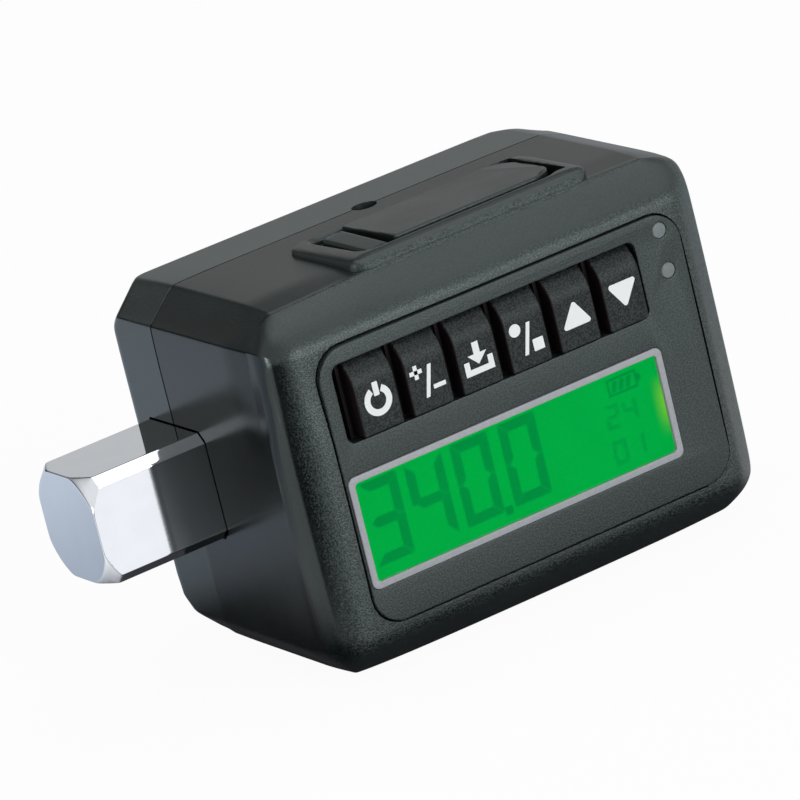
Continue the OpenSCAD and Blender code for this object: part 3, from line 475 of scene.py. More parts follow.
@dataclass(frozen=True)
class Value:
    """A number that a node puts out, with the operators that are used on it."""

    tree: "ShaderTree"
    socket: bpy.types.NodeSocket

    def _math(self, operation: str, left: object, right: object) -> "Value":
        """Adds one Math node on two values."""
        node = self.tree.node("ShaderNodeMath", {"operation": operation}, {0: left, 1: right})
        return Value(self.tree, node.outputs[0])

    def __add__(self, other: object) -> "Value":
        """This value plus another."""
        return self._math("ADD", self, other)

    def __radd__(self, other: object) -> "Value":
        """Another value plus this one."""
        return self._math("ADD", other, self)

    def __sub__(self, other: object) -> "Value":
        """This value less another."""
        return self._math("SUBTRACT", self, other)

    def __rsub__(self, other: object) -> "Value":
        """Another value less this one."""
        return self._math("SUBTRACT", other, self)

    def __mul__(self, other: object) -> "Value":
        """This value times another."""
        return self._math("MULTIPLY", self, other)

    def __rmul__(self, other: object) -> "Value":
        """Another value times this one."""
        return self._math("MULTIPLY", other, self)

    def __mod__(self, other: object) -> "Value":
        """What is left of this value after whole steps of another, from zero up."""
        return self._math("FLOORED_MODULO", self, other)

    def between(self, low: float, high: float) -> "Value":
        """Rises smoothly from zero at low to one at high."""
        node = self.tree.node("ShaderNodeMapRange", {"interpolation_type": "SMOOTHSTEP"},
                              {"Value": self, "From Min": low, "From Max": high})
        return Value(self.tree, node.outputs[0])


class ShaderTree:
    """The nodes of a material or a world, which all come from node()."""

    def __init__(self, owner: bpy.types.Material | bpy.types.World) -> None:
        """Empties the owner's nodes."""
        owner.use_nodes = True
        self.owner = owner
        self.nodes = owner.node_tree.nodes
        self.links = owner.node_tree.links
        self.nodes.clear()
        made = self.node("ShaderNodeTexCoord")
        self.coords = made.outputs["Generated" if isinstance(owner, bpy.types.World) else "Object"]

    def node(self, kind: str, settings: dict[str, object] | None = None,
             inputs: dict[object, object] | None = None) -> bpy.types.Node:
        """Adds a node.

        Args:
            kind: the node's type.
            settings: what is set on the node first.
            inputs: values, Values or sockets for its inputs.

        Returns:
            The node.
        """
        made = self.nodes.new(kind)
        for key, value in (settings or {}).items():
            setattr(made, key, value)
        for key, value in (inputs or {}).items():
            source = value.socket if isinstance(value, Value) else value
            if isinstance(source, bpy.types.NodeSocket):
                self.links.new(source, made.inputs[key])
            else:
                made.inputs[key].default_value = source
        return made

    def noise(self, size: float, detail: float = 2.0,
              stretch: tuple[float, float, float] = (1, 1, 1)) -> Value:
        """Noise from 0 to 1 with features of about size millimetres, stretched along an axis."""
        place = self.coords
        if stretch != (1, 1, 1):
            place = self.node("ShaderNodeMapping", None,
                              {"Vector": place, "Scale": tuple(1 / s for s in stretch)}).outputs[0]
        node = self.node("ShaderNodeTexNoise", None,
                         {"Vector": place, "Scale": 1 / (size * MM), "Detail": detail, "Roughness": 0.55})
        return Value(self, node.outputs["Fac"])

    def place(self, axis: str) -> Value:
        """The point's coordinate on the row's axis X, Y or Z, in millimetres of the axis frame."""
        node = self.node("ShaderNodeSeparateXYZ", None, {0: self.coords})
        return Value(self, node.outputs[axis]) * (1 / MM) - float(AXIS["XYZ".index(axis)])

    def parts(self) -> tuple["Value", "Value", "Value"]:
        """The three coordinates as they are: metres on a piece, the ray's direction in a world."""
        node = self.node("ShaderNodeSeparateXYZ", None, {0: self.coords})
        return Value(self, node.outputs[0]), Value(self, node.outputs[1]), Value(self, node.outputs[2])

    def ray(self, kind: str) -> "Value":
        """One where the ray is of a kind that Light Path names, else zero."""
        return Value(self, self.node("ShaderNodeLightPath").outputs[kind])

    def mixed(self, factor: object, first: object, second: object) -> bpy.types.NodeSocket:
        """A colour between two, by a factor."""
        node = self.node("ShaderNodeMix", {"data_type": "RGBA"}, {0: factor, 6: first, 7: second})
        return node.outputs[2]

    def bump(self, height: Value, depth: float) -> bpy.types.NodeSocket:
        """A normal bumped by a height, which is worth depth millimetres at one."""
        node = self.node("ShaderNodeBump", None, {"Distance": depth * MM, "Height": height})
        return node.outputs[0]

    def finish(self, shader: bpy.types.Node) -> bpy.types.Material | bpy.types.World:
        """Links the last shader to the output and returns the owner."""
        kind = "World" if isinstance(self.owner, bpy.types.World) else "Material"
        self.node("ShaderNodeOutput" + kind, None, {"Surface": shader.outputs[0]})
        return self.owner


COOL = (0.86, 1.0, 1.0)  # the tint of the dark plastics' reflections


@dataclass(frozen=True)
class Finish:
    """What a piece is made of. Its material is made once and shared."""

    name: str

    def material(self) -> bpy.types.Material:
        """Returns the finish's material."""
        made = bpy.data.materials.get(self.name)
        return made or self.build(ShaderTree(bpy.data.materials.new(self.name)))

    def build(self, tree: ShaderTree) -> bpy.types.Material:
        """Makes the material's nodes."""
        raise NotImplementedError


@dataclass(frozen=True)
class Moulded(Finish):
    """Moulded plastic or rubber with a fine grain and a slight mottling."""

    colour: Colour = (40, 44, 44)
    rough: float = 0.5
    grain: float = 0.22
    depth: float = 0.02
    speck: float = 0.25
    contrast: float = 2.2
    mottle: float = 0.12
    shine: float = 0.5
    cast: tuple[float, float, float] = (1.0, 1.0, 1.0)
    # a colour painted on the side walls of a row of keys: painted shade and the painted reflection of the
    # dark gaps
    sides: Colour | None = None
    rows: tuple[float, float, float] = (9.13, 6.62, 5.32)

    def build(self, tree: ShaderTree) -> bpy.types.Material:
        """Makes grain in the bump and the colour, slow mottling in colour and roughness, and, where
        sides names one, painted shade and painted reflection in another colour on the side walls of a
        row of keys."""
        grain, slow = tree.noise(self.grain, 3), tree.noise(6.0, 2)
        base = linear(self.colour)
        dark = tuple(c * max(0.0, 1 - self.speck) for c in base[:3]) + (1.0,)
        light = speckle(base, 1 + self.speck)
        tint = (grain - 0.5) * self.contrast + (slow - 0.5) * self.mottle * 4 + 0.5
        colour = tree.mixed(tint, dark, light)
        # painted shade and reflection on the keys' side walls
        if self.sides:
            first, pitch, width = self.rows
            across = (tree.place("X") - first) % pitch
            near, clear = 0.1, 0.22
            face = across.between(near, clear) * (1 - across.between(width - clear, width - near))
            colour = tree.mixed(face, linear(self.sides), colour)
        rough = (slow - 0.5) * 0.12 + (grain - 0.5) * 0.1 + self.rough
        shader = tree.node("ShaderNodeBsdfPrincipled", None, {
            "Base Color": colour, "Roughness": rough, "Specular IOR Level": self.shine,
            "Specular Tint": self.cast + (1.0,), "Normal": tree.bump(grain, self.depth)})
        return tree.finish(shader)


@dataclass(frozen=True)
class CasePlastic(Finish):
    """The case's dark plastic: spark-eroded grain on the front face, the front right corner and the
    door rim's front wall, satin elsewhere, and glossy on the drive end. Painted highlights lighten
    the strips beside the panel, the rim's front wall and the front right corner, and painted shade
    darkens the drive end."""

    colour: Colour = (22, 34, 31)
    shine: float = 0.62
    depth: float = 0.085
    cast: tuple[float, float, float] = COOL

    def build(self, tree: ShaderTree) -> bpy.types.Material:
        """Makes masks for the grain from the depth behind the front face, and for the gloss from x.
        The grain mixes a nearly black and a greyer light speckle of the base colour. The same masks
        make the front face a little lighter, paint highlights as lighter speckle on the strips beside
        the panel, the rim's front wall and the front right corner, and paint shade on the drive end."""
        grain, slow, fine = tree.noise(0.2, 2), tree.noise(9.0, 2), tree.noise(0.12, 2)
        x, y, z = tree.place("X"), tree.place("Y"), tree.place("Z")
        # the front right corner, the front face, the rim's front wall, and the drive end, for the grain,
        # the painted highlights and the drive end's painted shade
        corner = x.between(56.2, 57.4) * (1 - y.between(-21.5, -19.5))
        face = (1 - y.between(-25.3, -23.6)) * (1 - z.between(17.3, 18.4)) + corner * 0.8
        wall = y.between(-21.7, -21.35) * (1 - y.between(-20.8, -20.2)) * z.between(21.0, 21.5)
        end = 1 - x.between(1.4, 4.2)
        coarse = face + wall * 1.6
        # painted highlights: lighter speckle on the strips beside the panel and on the rim's front wall
        edges = face * (1 - x.between(4.2, 5.4) + x.between(54.6, 55.8)) + wall
        base = linear(self.colour)
        dark, light = tuple(c * 0.1 for c in base[:3]) + (1.0,), speckle(base, 3.2)
        # the colour: grain, a little lighter on the front face, painted highlights on the strips, the wall
        # and the corner, and painted shade on the drive end
        tint = (grain - 0.5) * (coarse * 7.5 + 0.9) + (slow - 0.5) * 0.3 + 0.28 + face * 0.1 \
            + edges * 0.22 + wall * 0.2 + corner * 0.35 - end * 0.2
        rough = 0.36 + coarse * 0.04 - end * 0.16 + (slow - 0.5) * 0.06
        height = grain * (coarse * 0.72 + 0.2) * (1 - end * 0.8) + fine * 0.05
        shader = tree.node("ShaderNodeBsdfPrincipled", None, {
            "Base Color": tree.mixed(tint, dark, light), "Roughness": rough,
            "Specular IOR Level": self.shine, "Specular Tint": self.cast + (1.0,),
            "Normal": tree.bump(height, self.depth)})
        return tree.finish(shader)


@dataclass(frozen=True)
class Metal(Finish):
    """Plated or bare metal with faint wipe marks and slow changes in its gloss."""

    colour: Colour = (238, 242, 248)
    rough: float = 0.04
    marks: float = 0.0015
    lay: tuple[float, float, float] = (30, 1, 1)

    def build(self, tree: ShaderTree) -> bpy.types.Material:
        """Makes long thin noise for the wipe marks, in roughness and in the bump."""
        wipe, slow = tree.noise(0.12, 2, self.lay), tree.noise(4.0, 2)
        base = linear(self.colour)
        dull = tuple(c * 0.97 for c in base[:3]) + (1.0,)
        shader = tree.node("ShaderNodeBsdfPrincipled", None, {
            "Base Color": tree.mixed(slow.between(0.3, 0.7), base, dull), "Metallic": 1.0,
            "Roughness": self.rough + (wipe - 0.5) * 0.04 + (slow - 0.5) * 0.03,
            "Normal": tree.bump(wipe, self.marks)})
        return tree.finish(shader)


@dataclass(frozen=True)
class Lit(Finish):
    """A lit or printed layer that keeps its colour, with a glow towards one end."""

    colour: Colour = (0, 165, 60)
    glow: Colour = (0, 165, 60)
    power: float = 1.0
    start: float = 45.7
    end: float = 48.0

    def build(self, tree: ShaderTree) -> bpy.types.Material:
        """Mixes the glow in along x, in the middle of the display's height."""
        side = tree.place("X").between(self.start, self.end)
        low = 1 - tree.place("Z").between(-4.5, -1.0)
        high = tree.place("Z").between(-9.0, -5.0)
        slow = tree.noise(5.0, 2)
        colour = tree.mixed(side * low * high, linear(self.colour), linear(self.glow))
        patchy = tree.mixed(slow, (0.94, 0.94, 0.94, 1), (1.06, 1.06, 1.06, 1))
        shade = tree.node("ShaderNodeMix", {"data_type": "RGBA", "blend_type": "MULTIPLY"},
                          {0: 1.0, 6: colour, 7: patchy}).outputs[2]
        shader = tree.node("ShaderNodeBsdfPrincipled", None, {
            "Base Color": (0.0, 0.02, 0.005, 1), "Roughness": 0.6, "Specular IOR Level": 0.0,
            "Emission Color": shade, "Emission Strength": self.power})
        return tree.finish(shader)


@dataclass(frozen=True)
class Clear(Finish):
    """A clear polished window."""

    rough: float = 0.03

    def build(self, tree: ShaderTree) -> bpy.types.Material:
        """Makes glass with a trace of haze."""
        haze = tree.noise(3.0, 2)
        shader = tree.node("ShaderNodeBsdfPrincipled", None, {
            "Base Color": (0.96, 1.0, 0.97, 1), "Roughness": haze * 0.03 + self.rough,
            "Transmission Weight": 1.0, "IOR": 1.05})
        return tree.finish(shader)


@dataclass(frozen=True)
class Board(Finish):
    """A circuit board: solder resist over a weave of tracks."""

    def build(self, tree: ShaderTree) -> bpy.types.Material:
        """Makes tracks from a brick pattern that raises the resist a little."""
        bricks = tree.node("ShaderNodeTexBrick", None, {
            "Vector": tree.coords, "Color1": (1, 1, 1, 1), "Color2": (0.8, 0.8, 0.8, 1),
            "Mortar": (0, 0, 0, 1), "Scale": 400.0, "Mortar Size": 0.02})
        tracks = Value(tree, bricks.outputs["Fac"])
        shader = tree.node("ShaderNodeBsdfPrincipled", None, {
            "Base Color": tree.mixed(tracks, linear((16, 92, 52)), linear((30, 128, 70))),
            "Roughness": 0.35 + tracks * 0.1, "Normal": tree.bump(tracks, 0.03)})
        return tree.finish(shader)


class Finishes:
    """The finishes of the whole part."""

    case = CasePlastic("case_plastic")
    # the rear half: the case plastic painted lighter and shinier, a painted highlight
    rear = CasePlastic("rear_case_plastic_painted_lighter", colour=(33, 48, 44), shine=1.0)
    panel = Moulded("panel_plastic", colour=(18, 28, 27), rough=0.42, speck=1.7, contrast=12.0, depth=0.06,
                    grain=0.2, shine=0.62, cast=COOL)
    # sides paints shade and the reflection of the dark gaps on the keys' side walls
    key = Moulded("key_plastic", colour=(24, 30, 31), rough=0.46, speck=1.0, contrast=9.0, grain=0.2,
                  depth=0.04, shine=0.28, cast=(0.9, 1.0, 1.0), sides=(24, 15, 19))
    # dark brown rubber, darker still as painted shade in the gaps between the keys
    gap = Moulded("key_base_rubber_and_painted_shade", colour=(22, 14, 17), rough=0.7, speck=0.2, shine=0.2)
    border = Moulded("border_print", colour=(150, 152, 160), rough=0.42, speck=0.1, depth=0.008)
    lamp = Moulded("lamp_window", colour=(104, 114, 116), rough=0.3, speck=0.12, grain=0.3, depth=0.01)
    legend = Moulded("legend_print", colour=(224, 228, 229), rough=0.6, speck=0.02, depth=0.004)
    door = Moulded("door_plastic", colour=(22, 36, 31), rough=0.36, speck=0.3, grain=0.25, depth=0.03,
                   shine=0.5, cast=COOL)
    latch = Moulded("latch_plastic", colour=(24, 36, 33), rough=0.36, speck=0.3, depth=0.03, shine=0.66,
                    cast=COOL)
    inner = Moulded("inner_plastic", colour=(34, 35, 36), rough=0.5, speck=0.15)
    bush = Moulded("bush_plastic", colour=(222, 220, 208), rough=0.35, speck=0.05, depth=0.01)
    rubber = Moulded("rubber", colour=(18, 18, 18), rough=0.55, speck=0.15)
    strip = Moulded("strip_rubber", colour=(206, 130, 150), rough=0.5, speck=0.1)
    film = Moulded("gauge_film", colour=(196, 130, 50), rough=0.3, speck=0.1, depth=0.005)
    chip = Moulded("chip_resin", colour=(22, 22, 24), rough=0.45, speck=0.15)
    led = Moulded("led_resin", colour=(226, 220, 190), rough=0.25, speck=0.05)
    display = Lit("display_green", colour=(0, 162, 60), glow=(120, 196, 48))
    segment = Lit("display_segment", colour=(0, 132, 55), glow=(20, 150, 50))
    faint = Lit("display_faint", colour=(0, 146, 58), glow=(60, 170, 50))
    guide = Moulded("light_guide", colour=(206, 236, 214), rough=0.2, speck=0.03)
    window = Clear("display_window")
    chrome = Metal("chrome_plate")
    bright = Metal("bright_steel", colour=(186, 188, 192), rough=0.22, lay=(1, 1, 8))
    dark = Metal("black_steel", colour=(58, 58, 62), rough=0.34, lay=(1, 1, 4))
    brass = Metal("contact_metal", colour=(214, 190, 120), rough=0.2)
    board = Board("board_resist")


# Sub-assemblies and the studio


# The raised rim round the door: its ends, its faces, and its top at the front and at the back.
RIM_LEFT, RIM_RIGHT, RIM_FRONT, RIM_BACK, RIM_TOP, RIM_BACK_TOP = 15.5, 48.1, -21.3, -4.9, 23.25, 22.45


@dataclass
class CaseShells:
    """The two halves of the case, cut from one softly rounded body."""

    length: float = 59.0
    front: float = -25.6
    rear: float = 15.5
    half: float = 21.75
    inset: float = 0.01
    crease: float = 0.2
    soft_crease: float = 0.5
    corner_crease: float = 0.5
    rim_drop: float = 0.3
    seam_half: float = 0.13
    seam_depth: float = 0.6
    corner_cuts: tuple[tuple[Point, Point, float], ...] = (
        ((-1.0, 1.0, 1.0), (0.0, 9.2, 18.05), 0.75), ((-0.6, 1.0, -1.0), (0.0, 9.2, -17.55), 1.2),
        ((1.0, 1.0, 1.0), (59.0, 5.8, 19.85), 0.55), ((-1.0, -1.0, -1.0), (1.9, -24.2, -19.4), 0.85),
        ((1.0, -1.0, -1.0), (57.0, -23.9, -19.4), 0.6), ((1.0, -1.0, 1.0), (57.0, -23.9, 20.0), 0.6))

    def cut(self, toward: Point, corner: Point, depth: float) -> Field:
        """A flat that takes so much off a corner.

        Args:
            toward: the direction that the flat faces.
            corner: a point on the uncut corner.
            depth: how far below it the flat lies.

        Returns:
            The flat's field.
        """
        normal = np.array(toward) / np.linalg.norm(toward)
        offset = float(normal @ np.array(corner)) - depth
        return lambda p: p @ normal - offset

    def body(self) -> SoftSolid:
        """The case's outside: three convex outlines, blended where they meet."""
        n, far, t = self.inset, self.length - self.inset, self.half - self.inset
        f, r = self.front + self.inset, self.rear - self.inset
        plan = outline_field([(n + 3.8, f, 3.5), (far - 4.2, f, 3.5), (far, f + 3.4, 3.5), (far, 5.8, 2),
                              (far - 6.4, r, 2), (n + 6.4, r, 2), (n, 9.2, 2), (n, f + 2.7, 3.5)])
        side = outline_field([(f, 4.55 - t, 2.4), (f + 4.8, -t, 0.7), (0, -t, 2), (9.2, 0.4 - t, 2),
                              (r, 4.9 - t, 2), (r, t - 4.9, 2), (9.2, t - 0.4, 2), (0, t, 2),
                              (f + 4.45, t, 0.7), (f, t - 4.7, 2.4)], without=(0,))
        end = outline_field([(n, 4.2 - t, 0.7), (n + 3.8, -t, 0.7), (far - 4.2, -t, 2), (far, 3.7 - t, 2),
                             (far, t - 1.9, 1.4), (far - 4.8, t, 0.7), (n + 4.2, t, 0.7),
                             (n, t - 3.7, 0.7)], without=(0, 1))
        cuts = [self.cut(*row) for row in self.corner_cuts]

        def field(p: Array) -> Array:
            """The smooth maximum of the three outlines and of the corners' cuts, blended more
            widely towards the front, and most at its upper left."""
            front = np.clip((-15.5 - p[:, 1]) / 4.5, 0, 1)
            upper_left = np.clip((p[:, 2] - 6) / 5, 0, 1) * np.clip((24 - p[:, 0]) / 12, 0, 1)
            blend = self.crease + front * (self.soft_crease - self.crease + self.corner_crease * upper_left)
            outlines = [plan(p[:, :2]), side(p[:, 1:]), end(p[:, ::2])]
            return softest(outlines + [cut(p) for cut in cuts], blend)

        marks = (np.unique(np.concatenate([spaced(0, self.length, 0.28, 2.6, 5.6), [29.5]])),
                 np.unique(np.concatenate([spaced(self.front, self.rear, 0.3, 2.4, 5.6),
                                           np.arange(7.0, 10.0, 0.3)])),
                 spaced(-self.half, self.half, 0.28, 2.4, 5.8))
        return SoftSolid(field, (29.5, -6.0, 0.0), marks)

    def frame_rim(self) -> SoftSolid:
        """The raised rim round the door: plan, side and end outlines, blended."""
        n = self.inset
        x0, x1, y0, y1 = RIM_LEFT + n, RIM_RIGHT - n, RIM_FRONT + n, RIM_BACK - n
        plan = outline_field([(x0, y0, 3.6), (x1, y0, 3.6), (x1, y1, 3.6), (x0, y1, 3.6)])
        low, front_top, back_top = 15, RIM_TOP - self.rim_drop, RIM_BACK_TOP - self.rim_drop / 2
        side = outline_field([(y0, low, 0), (y1, low, 0), (y1, back_top, 0.64), (y0, front_top, 2.4)],
                             without=(0,))
        end = outline_field([(x0, low, 0), (x1, low, 0), (x1, front_top, 1.6), (x0, front_top, 1.8)],
                            without=(0, 1))

        def field(p: Array) -> Array:
            """The smooth maximum of the three outlines."""
            return softest([plan(p[:, :2]), side(p[:, 1:]), end(p[:, ::2])], 0.16)

        marks = (spaced(RIM_LEFT, RIM_RIGHT, 0.3, 2.5, 4.6), spaced(RIM_FRONT, RIM_BACK, 0.3, 2.0, 4.6),
                 spaced(15.0, RIM_TOP, 0.25, 1.5, 2.2))
        return SoftSolid(field, (31.8, -12.75, 19.0), marks)

    def seam(self) -> Skin:
        """A ring of rectangular section that widens the gap between the halves, carried round the
        case's outline at the seam."""
        far, t = self.length, self.half
        loop = Loop(np.array([(0, 4.2 - t), (3.8, -t), (far - 4.2, -t), (far, 3.7 - t), (far, t - 1.9),
                              (far - 4.8, t), (4.2, t), (0, t - 3.7)]))
        rows = [(1.0, -self.seam_half), (1.0, self.seam_half), (-self.seam_depth, self.seam_half),
                (-self.seam_depth, -self.seam_half)]
        points = np.stack([np.insert(loop.grown(by), 1, y, axis=1) for by, y in rows])
        return grid(points, round_cols=True, round_rows=True)

    def flare(self) -> SoftSolid:
        """What rounds the edge of the door's opening: the opening's outline, grown at a depth d
        below the rim's top by r - sqrt(r^2 - (r - d)^2)."""
        r, x0, x1, y0, y1 = 0.9, 18.95, 45.7, -17.95, -5.55
        plan = outline_field([(x0, y0, 1.6), (x1, y0, 3.2), (x1, y1, 3.2), (x0, y1, 1.6)])

        def field(p: Array) -> Array:
            """The grown outline between a floor and a ceiling."""
            top = p[:, 2] - (RIM_TOP - self.rim_drop - 0.7 * (p[:, 1] - RIM_FRONT) / (RIM_BACK - RIM_FRONT))
            depth = np.clip(r + top, 0, r)
            growth = r - np.sqrt(r ** 2 - depth ** 2)
            return np.maximum(plan(p[:, :2]) - growth, np.maximum(p[:, 2] - 24.2, 21.2 - p[:, 2]))

        heights = np.concatenate([spaced(21.2, 24.2, 0.1, 0.2, 0.6), np.arange(21.6, 23.6, 0.09)])
        marks = (spaced(x0 - 2, x1 + 2, 0.3, 2.0, 6.0), spaced(y0 - 2, y1 + 2, 0.3, 1.4, 5.0),
                 np.unique(heights))
        return SoftSolid(field, (32.3, -11.75, 21.9), marks)

    def collar(self) -> Skin:
        """The round collar of the socket end, with a rounded rim."""
        turn = np.linspace(0, math.pi / 2, 6)
        rim = [(13.6 - self.inset - 0.6 + 0.6 * math.cos(a), 58.39 + 0.6 * math.sin(a)) for a in turn]
        return lathe([(0, 40), (13.59, 40)] + rim + [(0, 58.99)], "x", (0, 0, 0), 96)

    def build(self) -> None:
        """Cuts both halves out of the rounded body and dresses them."""
        body, rim, flare = self.body(), self.frame_rim(), self.flare()
        whole = Pieces.combine(body.skin().mesh("body"), rim.skin().mesh("rim"), "UNION")
        whole = Pieces.combine(whole, self.collar().mesh("collar"), "UNION")
        for node, name in (("front_shell", "front_case"), ("rear_shell", "rear_case")):
            data = Pieces.combine(Pieces.cad_copy(node), whole.copy(), "INTERSECT")
            data = Pieces.combine(data, self.seam().mesh("seam"), "DIFFERENCE")
            if node == "front_shell":
                data = Pieces.combine(data, flare.skin().mesh("flare"), "DIFFERENCE")
            # the rear half takes the lighter copy of the case plastic, a painted highlight
            finish = Finishes.case if node == "front_shell" else Finishes.rear
            Pieces.add(data, name, "case", finish, "shell", [node], 24,
                       [body.field, rim.field, lambda p: -flare.field(p)])


@dataclass
class FrontPanel:
    """The grained panel with its window, key recess and two lamp holes."""

    front: float = -25.6
    back: float = -24.0
    edge: float = 0.16
    lamps: tuple[tuple[float, float], ...] = ((51.6, 14.3), (51.6, 9.55))

    def build(self) -> None:
        """Makes the panel and the two smoky lamp windows."""
        holes = (Loop.box(6.0, -11.45, 48.2, 1.75, 0.9), Loop.box(7.4, 5.3, 48.0, 14.4, 1.0),
                 *(Loop.circle(x, z, 0.92) for x, z in self.lamps))
        plate = Plate(Loop.box(5.7, -15.95, 54.1, 16.25, 3.6), self.front, self.back, self.edge, holes)
        Pieces.add(plate.skin().mesh("panel"), "panel_face", "case", Finishes.panel, "panel",
                   ["front_panel"])
        pipes = Skin.join([lathe([(0, -0.02), (0.5, -0.01), (0.8, 0.03), (0.9, 0.12), (0.9, 5.4), (0, 5.4)],
                                 "y", (x, self.front, z), 40) for x, z in self.lamps])
        Pieces.add(pipes.mesh("pipes"), "lamp_windows", "case", Finishes.lamp, "light_pipe",
                   ["light_pipes"])


class Segment(Enum):
    """The strokes of a seven-segment figure: the ends of each on a 1 by 2 grid, and its outer side."""

    TOP = ((0, 2), (1, 2), (0, 1))
    UPPER_RIGHT = ((1, 2), (1, 1), (1, 0))
    LOWER_RIGHT = ((1, 1), (1, 0), (1, 0))
    BOTTOM = ((0, 0), (1, 0), (0, -1))
    LOWER_LEFT = ((0, 1), (0, 0), (-1, 0))
    UPPER_LEFT = ((0, 2), (0, 1), (-1, 0))
    MIDDLE = ((0, 1), (1, 1), (0, 1))


FIGURES: dict[str, str] = {"0": "TOP UPPER_RIGHT LOWER_RIGHT BOTTOM LOWER_LEFT UPPER_LEFT",
                           "1": "UPPER_RIGHT LOWER_RIGHT",
                           "2": "TOP UPPER_RIGHT MIDDLE LOWER_LEFT BOTTOM",
                           "3": "TOP UPPER_RIGHT MIDDLE LOWER_RIGHT BOTTOM",
                           "4": "UPPER_LEFT UPPER_RIGHT MIDDLE LOWER_RIGHT"}


@dataclass
class Display:
    """The lit window: border, clear cover, green layer and the figures on it."""

    left: float = 6.8
    right: float = 47.4
    low: float = -10.65
    high: float = 0.95
    face: float = -25.6

    def figure(self, text: str, x: float, z: float, width: float, height: float, stroke: float,
               gap: float) -> list[Loop]:
        """The strokes of one figure. Each is a bar whose ends are mitred: at a corner of the figure
        its outer side runs on by half a stroke, and its inner side always stops half a stroke short."""
        loops: list[Loop] = []
        for name in FIGURES[text].split():
            start, stop, outer = (np.array(v, float) for v in Segment[name].value)
            a, b = start * [width, height / 2], stop * [width, height / 2]
            u, half = (b - a) / np.linalg.norm(b - a), stroke / 2
            reach = [half if name == "MIDDLE" else (-half if end[1] != 1 else 0.0) for end in (start, stop)]
            out, inner = outer * half, u * (half + gap)
            bar = np.array([a + out + u * (reach[0] + gap), a + u * gap, a - out + inner,
                            b - out - inner, b - u * gap, b + out - u * (reach[1] + gap)])
            loops.append(Loop(bar + np.array([x, z])))
        return loops

    def drawn(self, loops: Iterable[Loop], front: float) -> Skin:
        """Thin plates on the green layer."""
        return Skin.join([Plate(loop, front, front + 0.06, 0.0, steps=1).skin() for loop in loops])

    def build(self) -> None:
        """Makes the border, the cover, the layers and the figures."""
        outer = Loop.box(self.left - 0.8, self.low - 0.8, self.right + 0.8, self.high + 0.8, 0.9)
        hole = Loop.box(self.left, self.low, self.right, self.high, 0.45)
        ring = Plate(outer, self.face - 0.12, -24.0, 0.12, (hole,), 3)
        Pieces.add(ring.skin().mesh("ring"), "display_border", "case", Finishes.border, "border",
                   ["lens_border"])
        gap = 0.02
        inside = Loop.box(self.left + gap, self.low + gap, self.right - gap, self.high - gap, 0.45)
        cover = Plate(inside, self.face, self.face + 0.25, 0.05)
        Pieces.add(cover.skin().mesh("cover"), "display_cover", "case", Finishes.window, "lens",
                   ["lcd_lens"])
        layer = Plate(inside, self.face + 0.34, -24.2, 0.0, steps=1)
        Pieces.add(layer.skin().mesh("layer"), "display_layer", "case", Finishes.display, "display")
        front = self.face + 0.3
        big: list[Loop] = []
        for text, x in zip("3400", (7.9, 13.9, 20.0, 26.4)):
            big += self.figure(text, x, -8.6, 3.75, 8.55, 1.15, 0.07)
        big.append(Loop.box(24.45, -9.7, 25.45, -8.7, 0.2))
        small: list[Loop] = []
        for text, x, z in (("2", 39.8, -5.2), ("4", 42.2, -5.2), ("0", 39.8, -9.4), ("1", 42.2, -9.4)):
            small += self.figure(text, x, z, 1.4, 2.4, 0.45, 0.04)
        big += [Loop.box(40.6, -1.75, 44.6, -1.5, 0), Loop.box(40.6, 0.05, 44.6, 0.3, 0),
                Loop.box(40.6, -1.5, 40.85, 0.05, 0), Loop.box(44.35, -1.5, 44.6, 0.05, 0),
                Loop.box(44.6, -1.15, 45.05, -0.35, 0)]
        big += [Loop(np.array([[x, -1.3], [x + 0.55, -1.3], [x + 0.95, -0.15], [x + 0.4, -0.15]]))
                for x in (41.05, 42.0, 42.95)]
        for loops, name, finish in ((big, "figures", Finishes.segment), (small, "marks", Finishes.faint)):
            Pieces.add(self.drawn(loops, front).mesh(name), "display_" + name, "case", finish, "display")


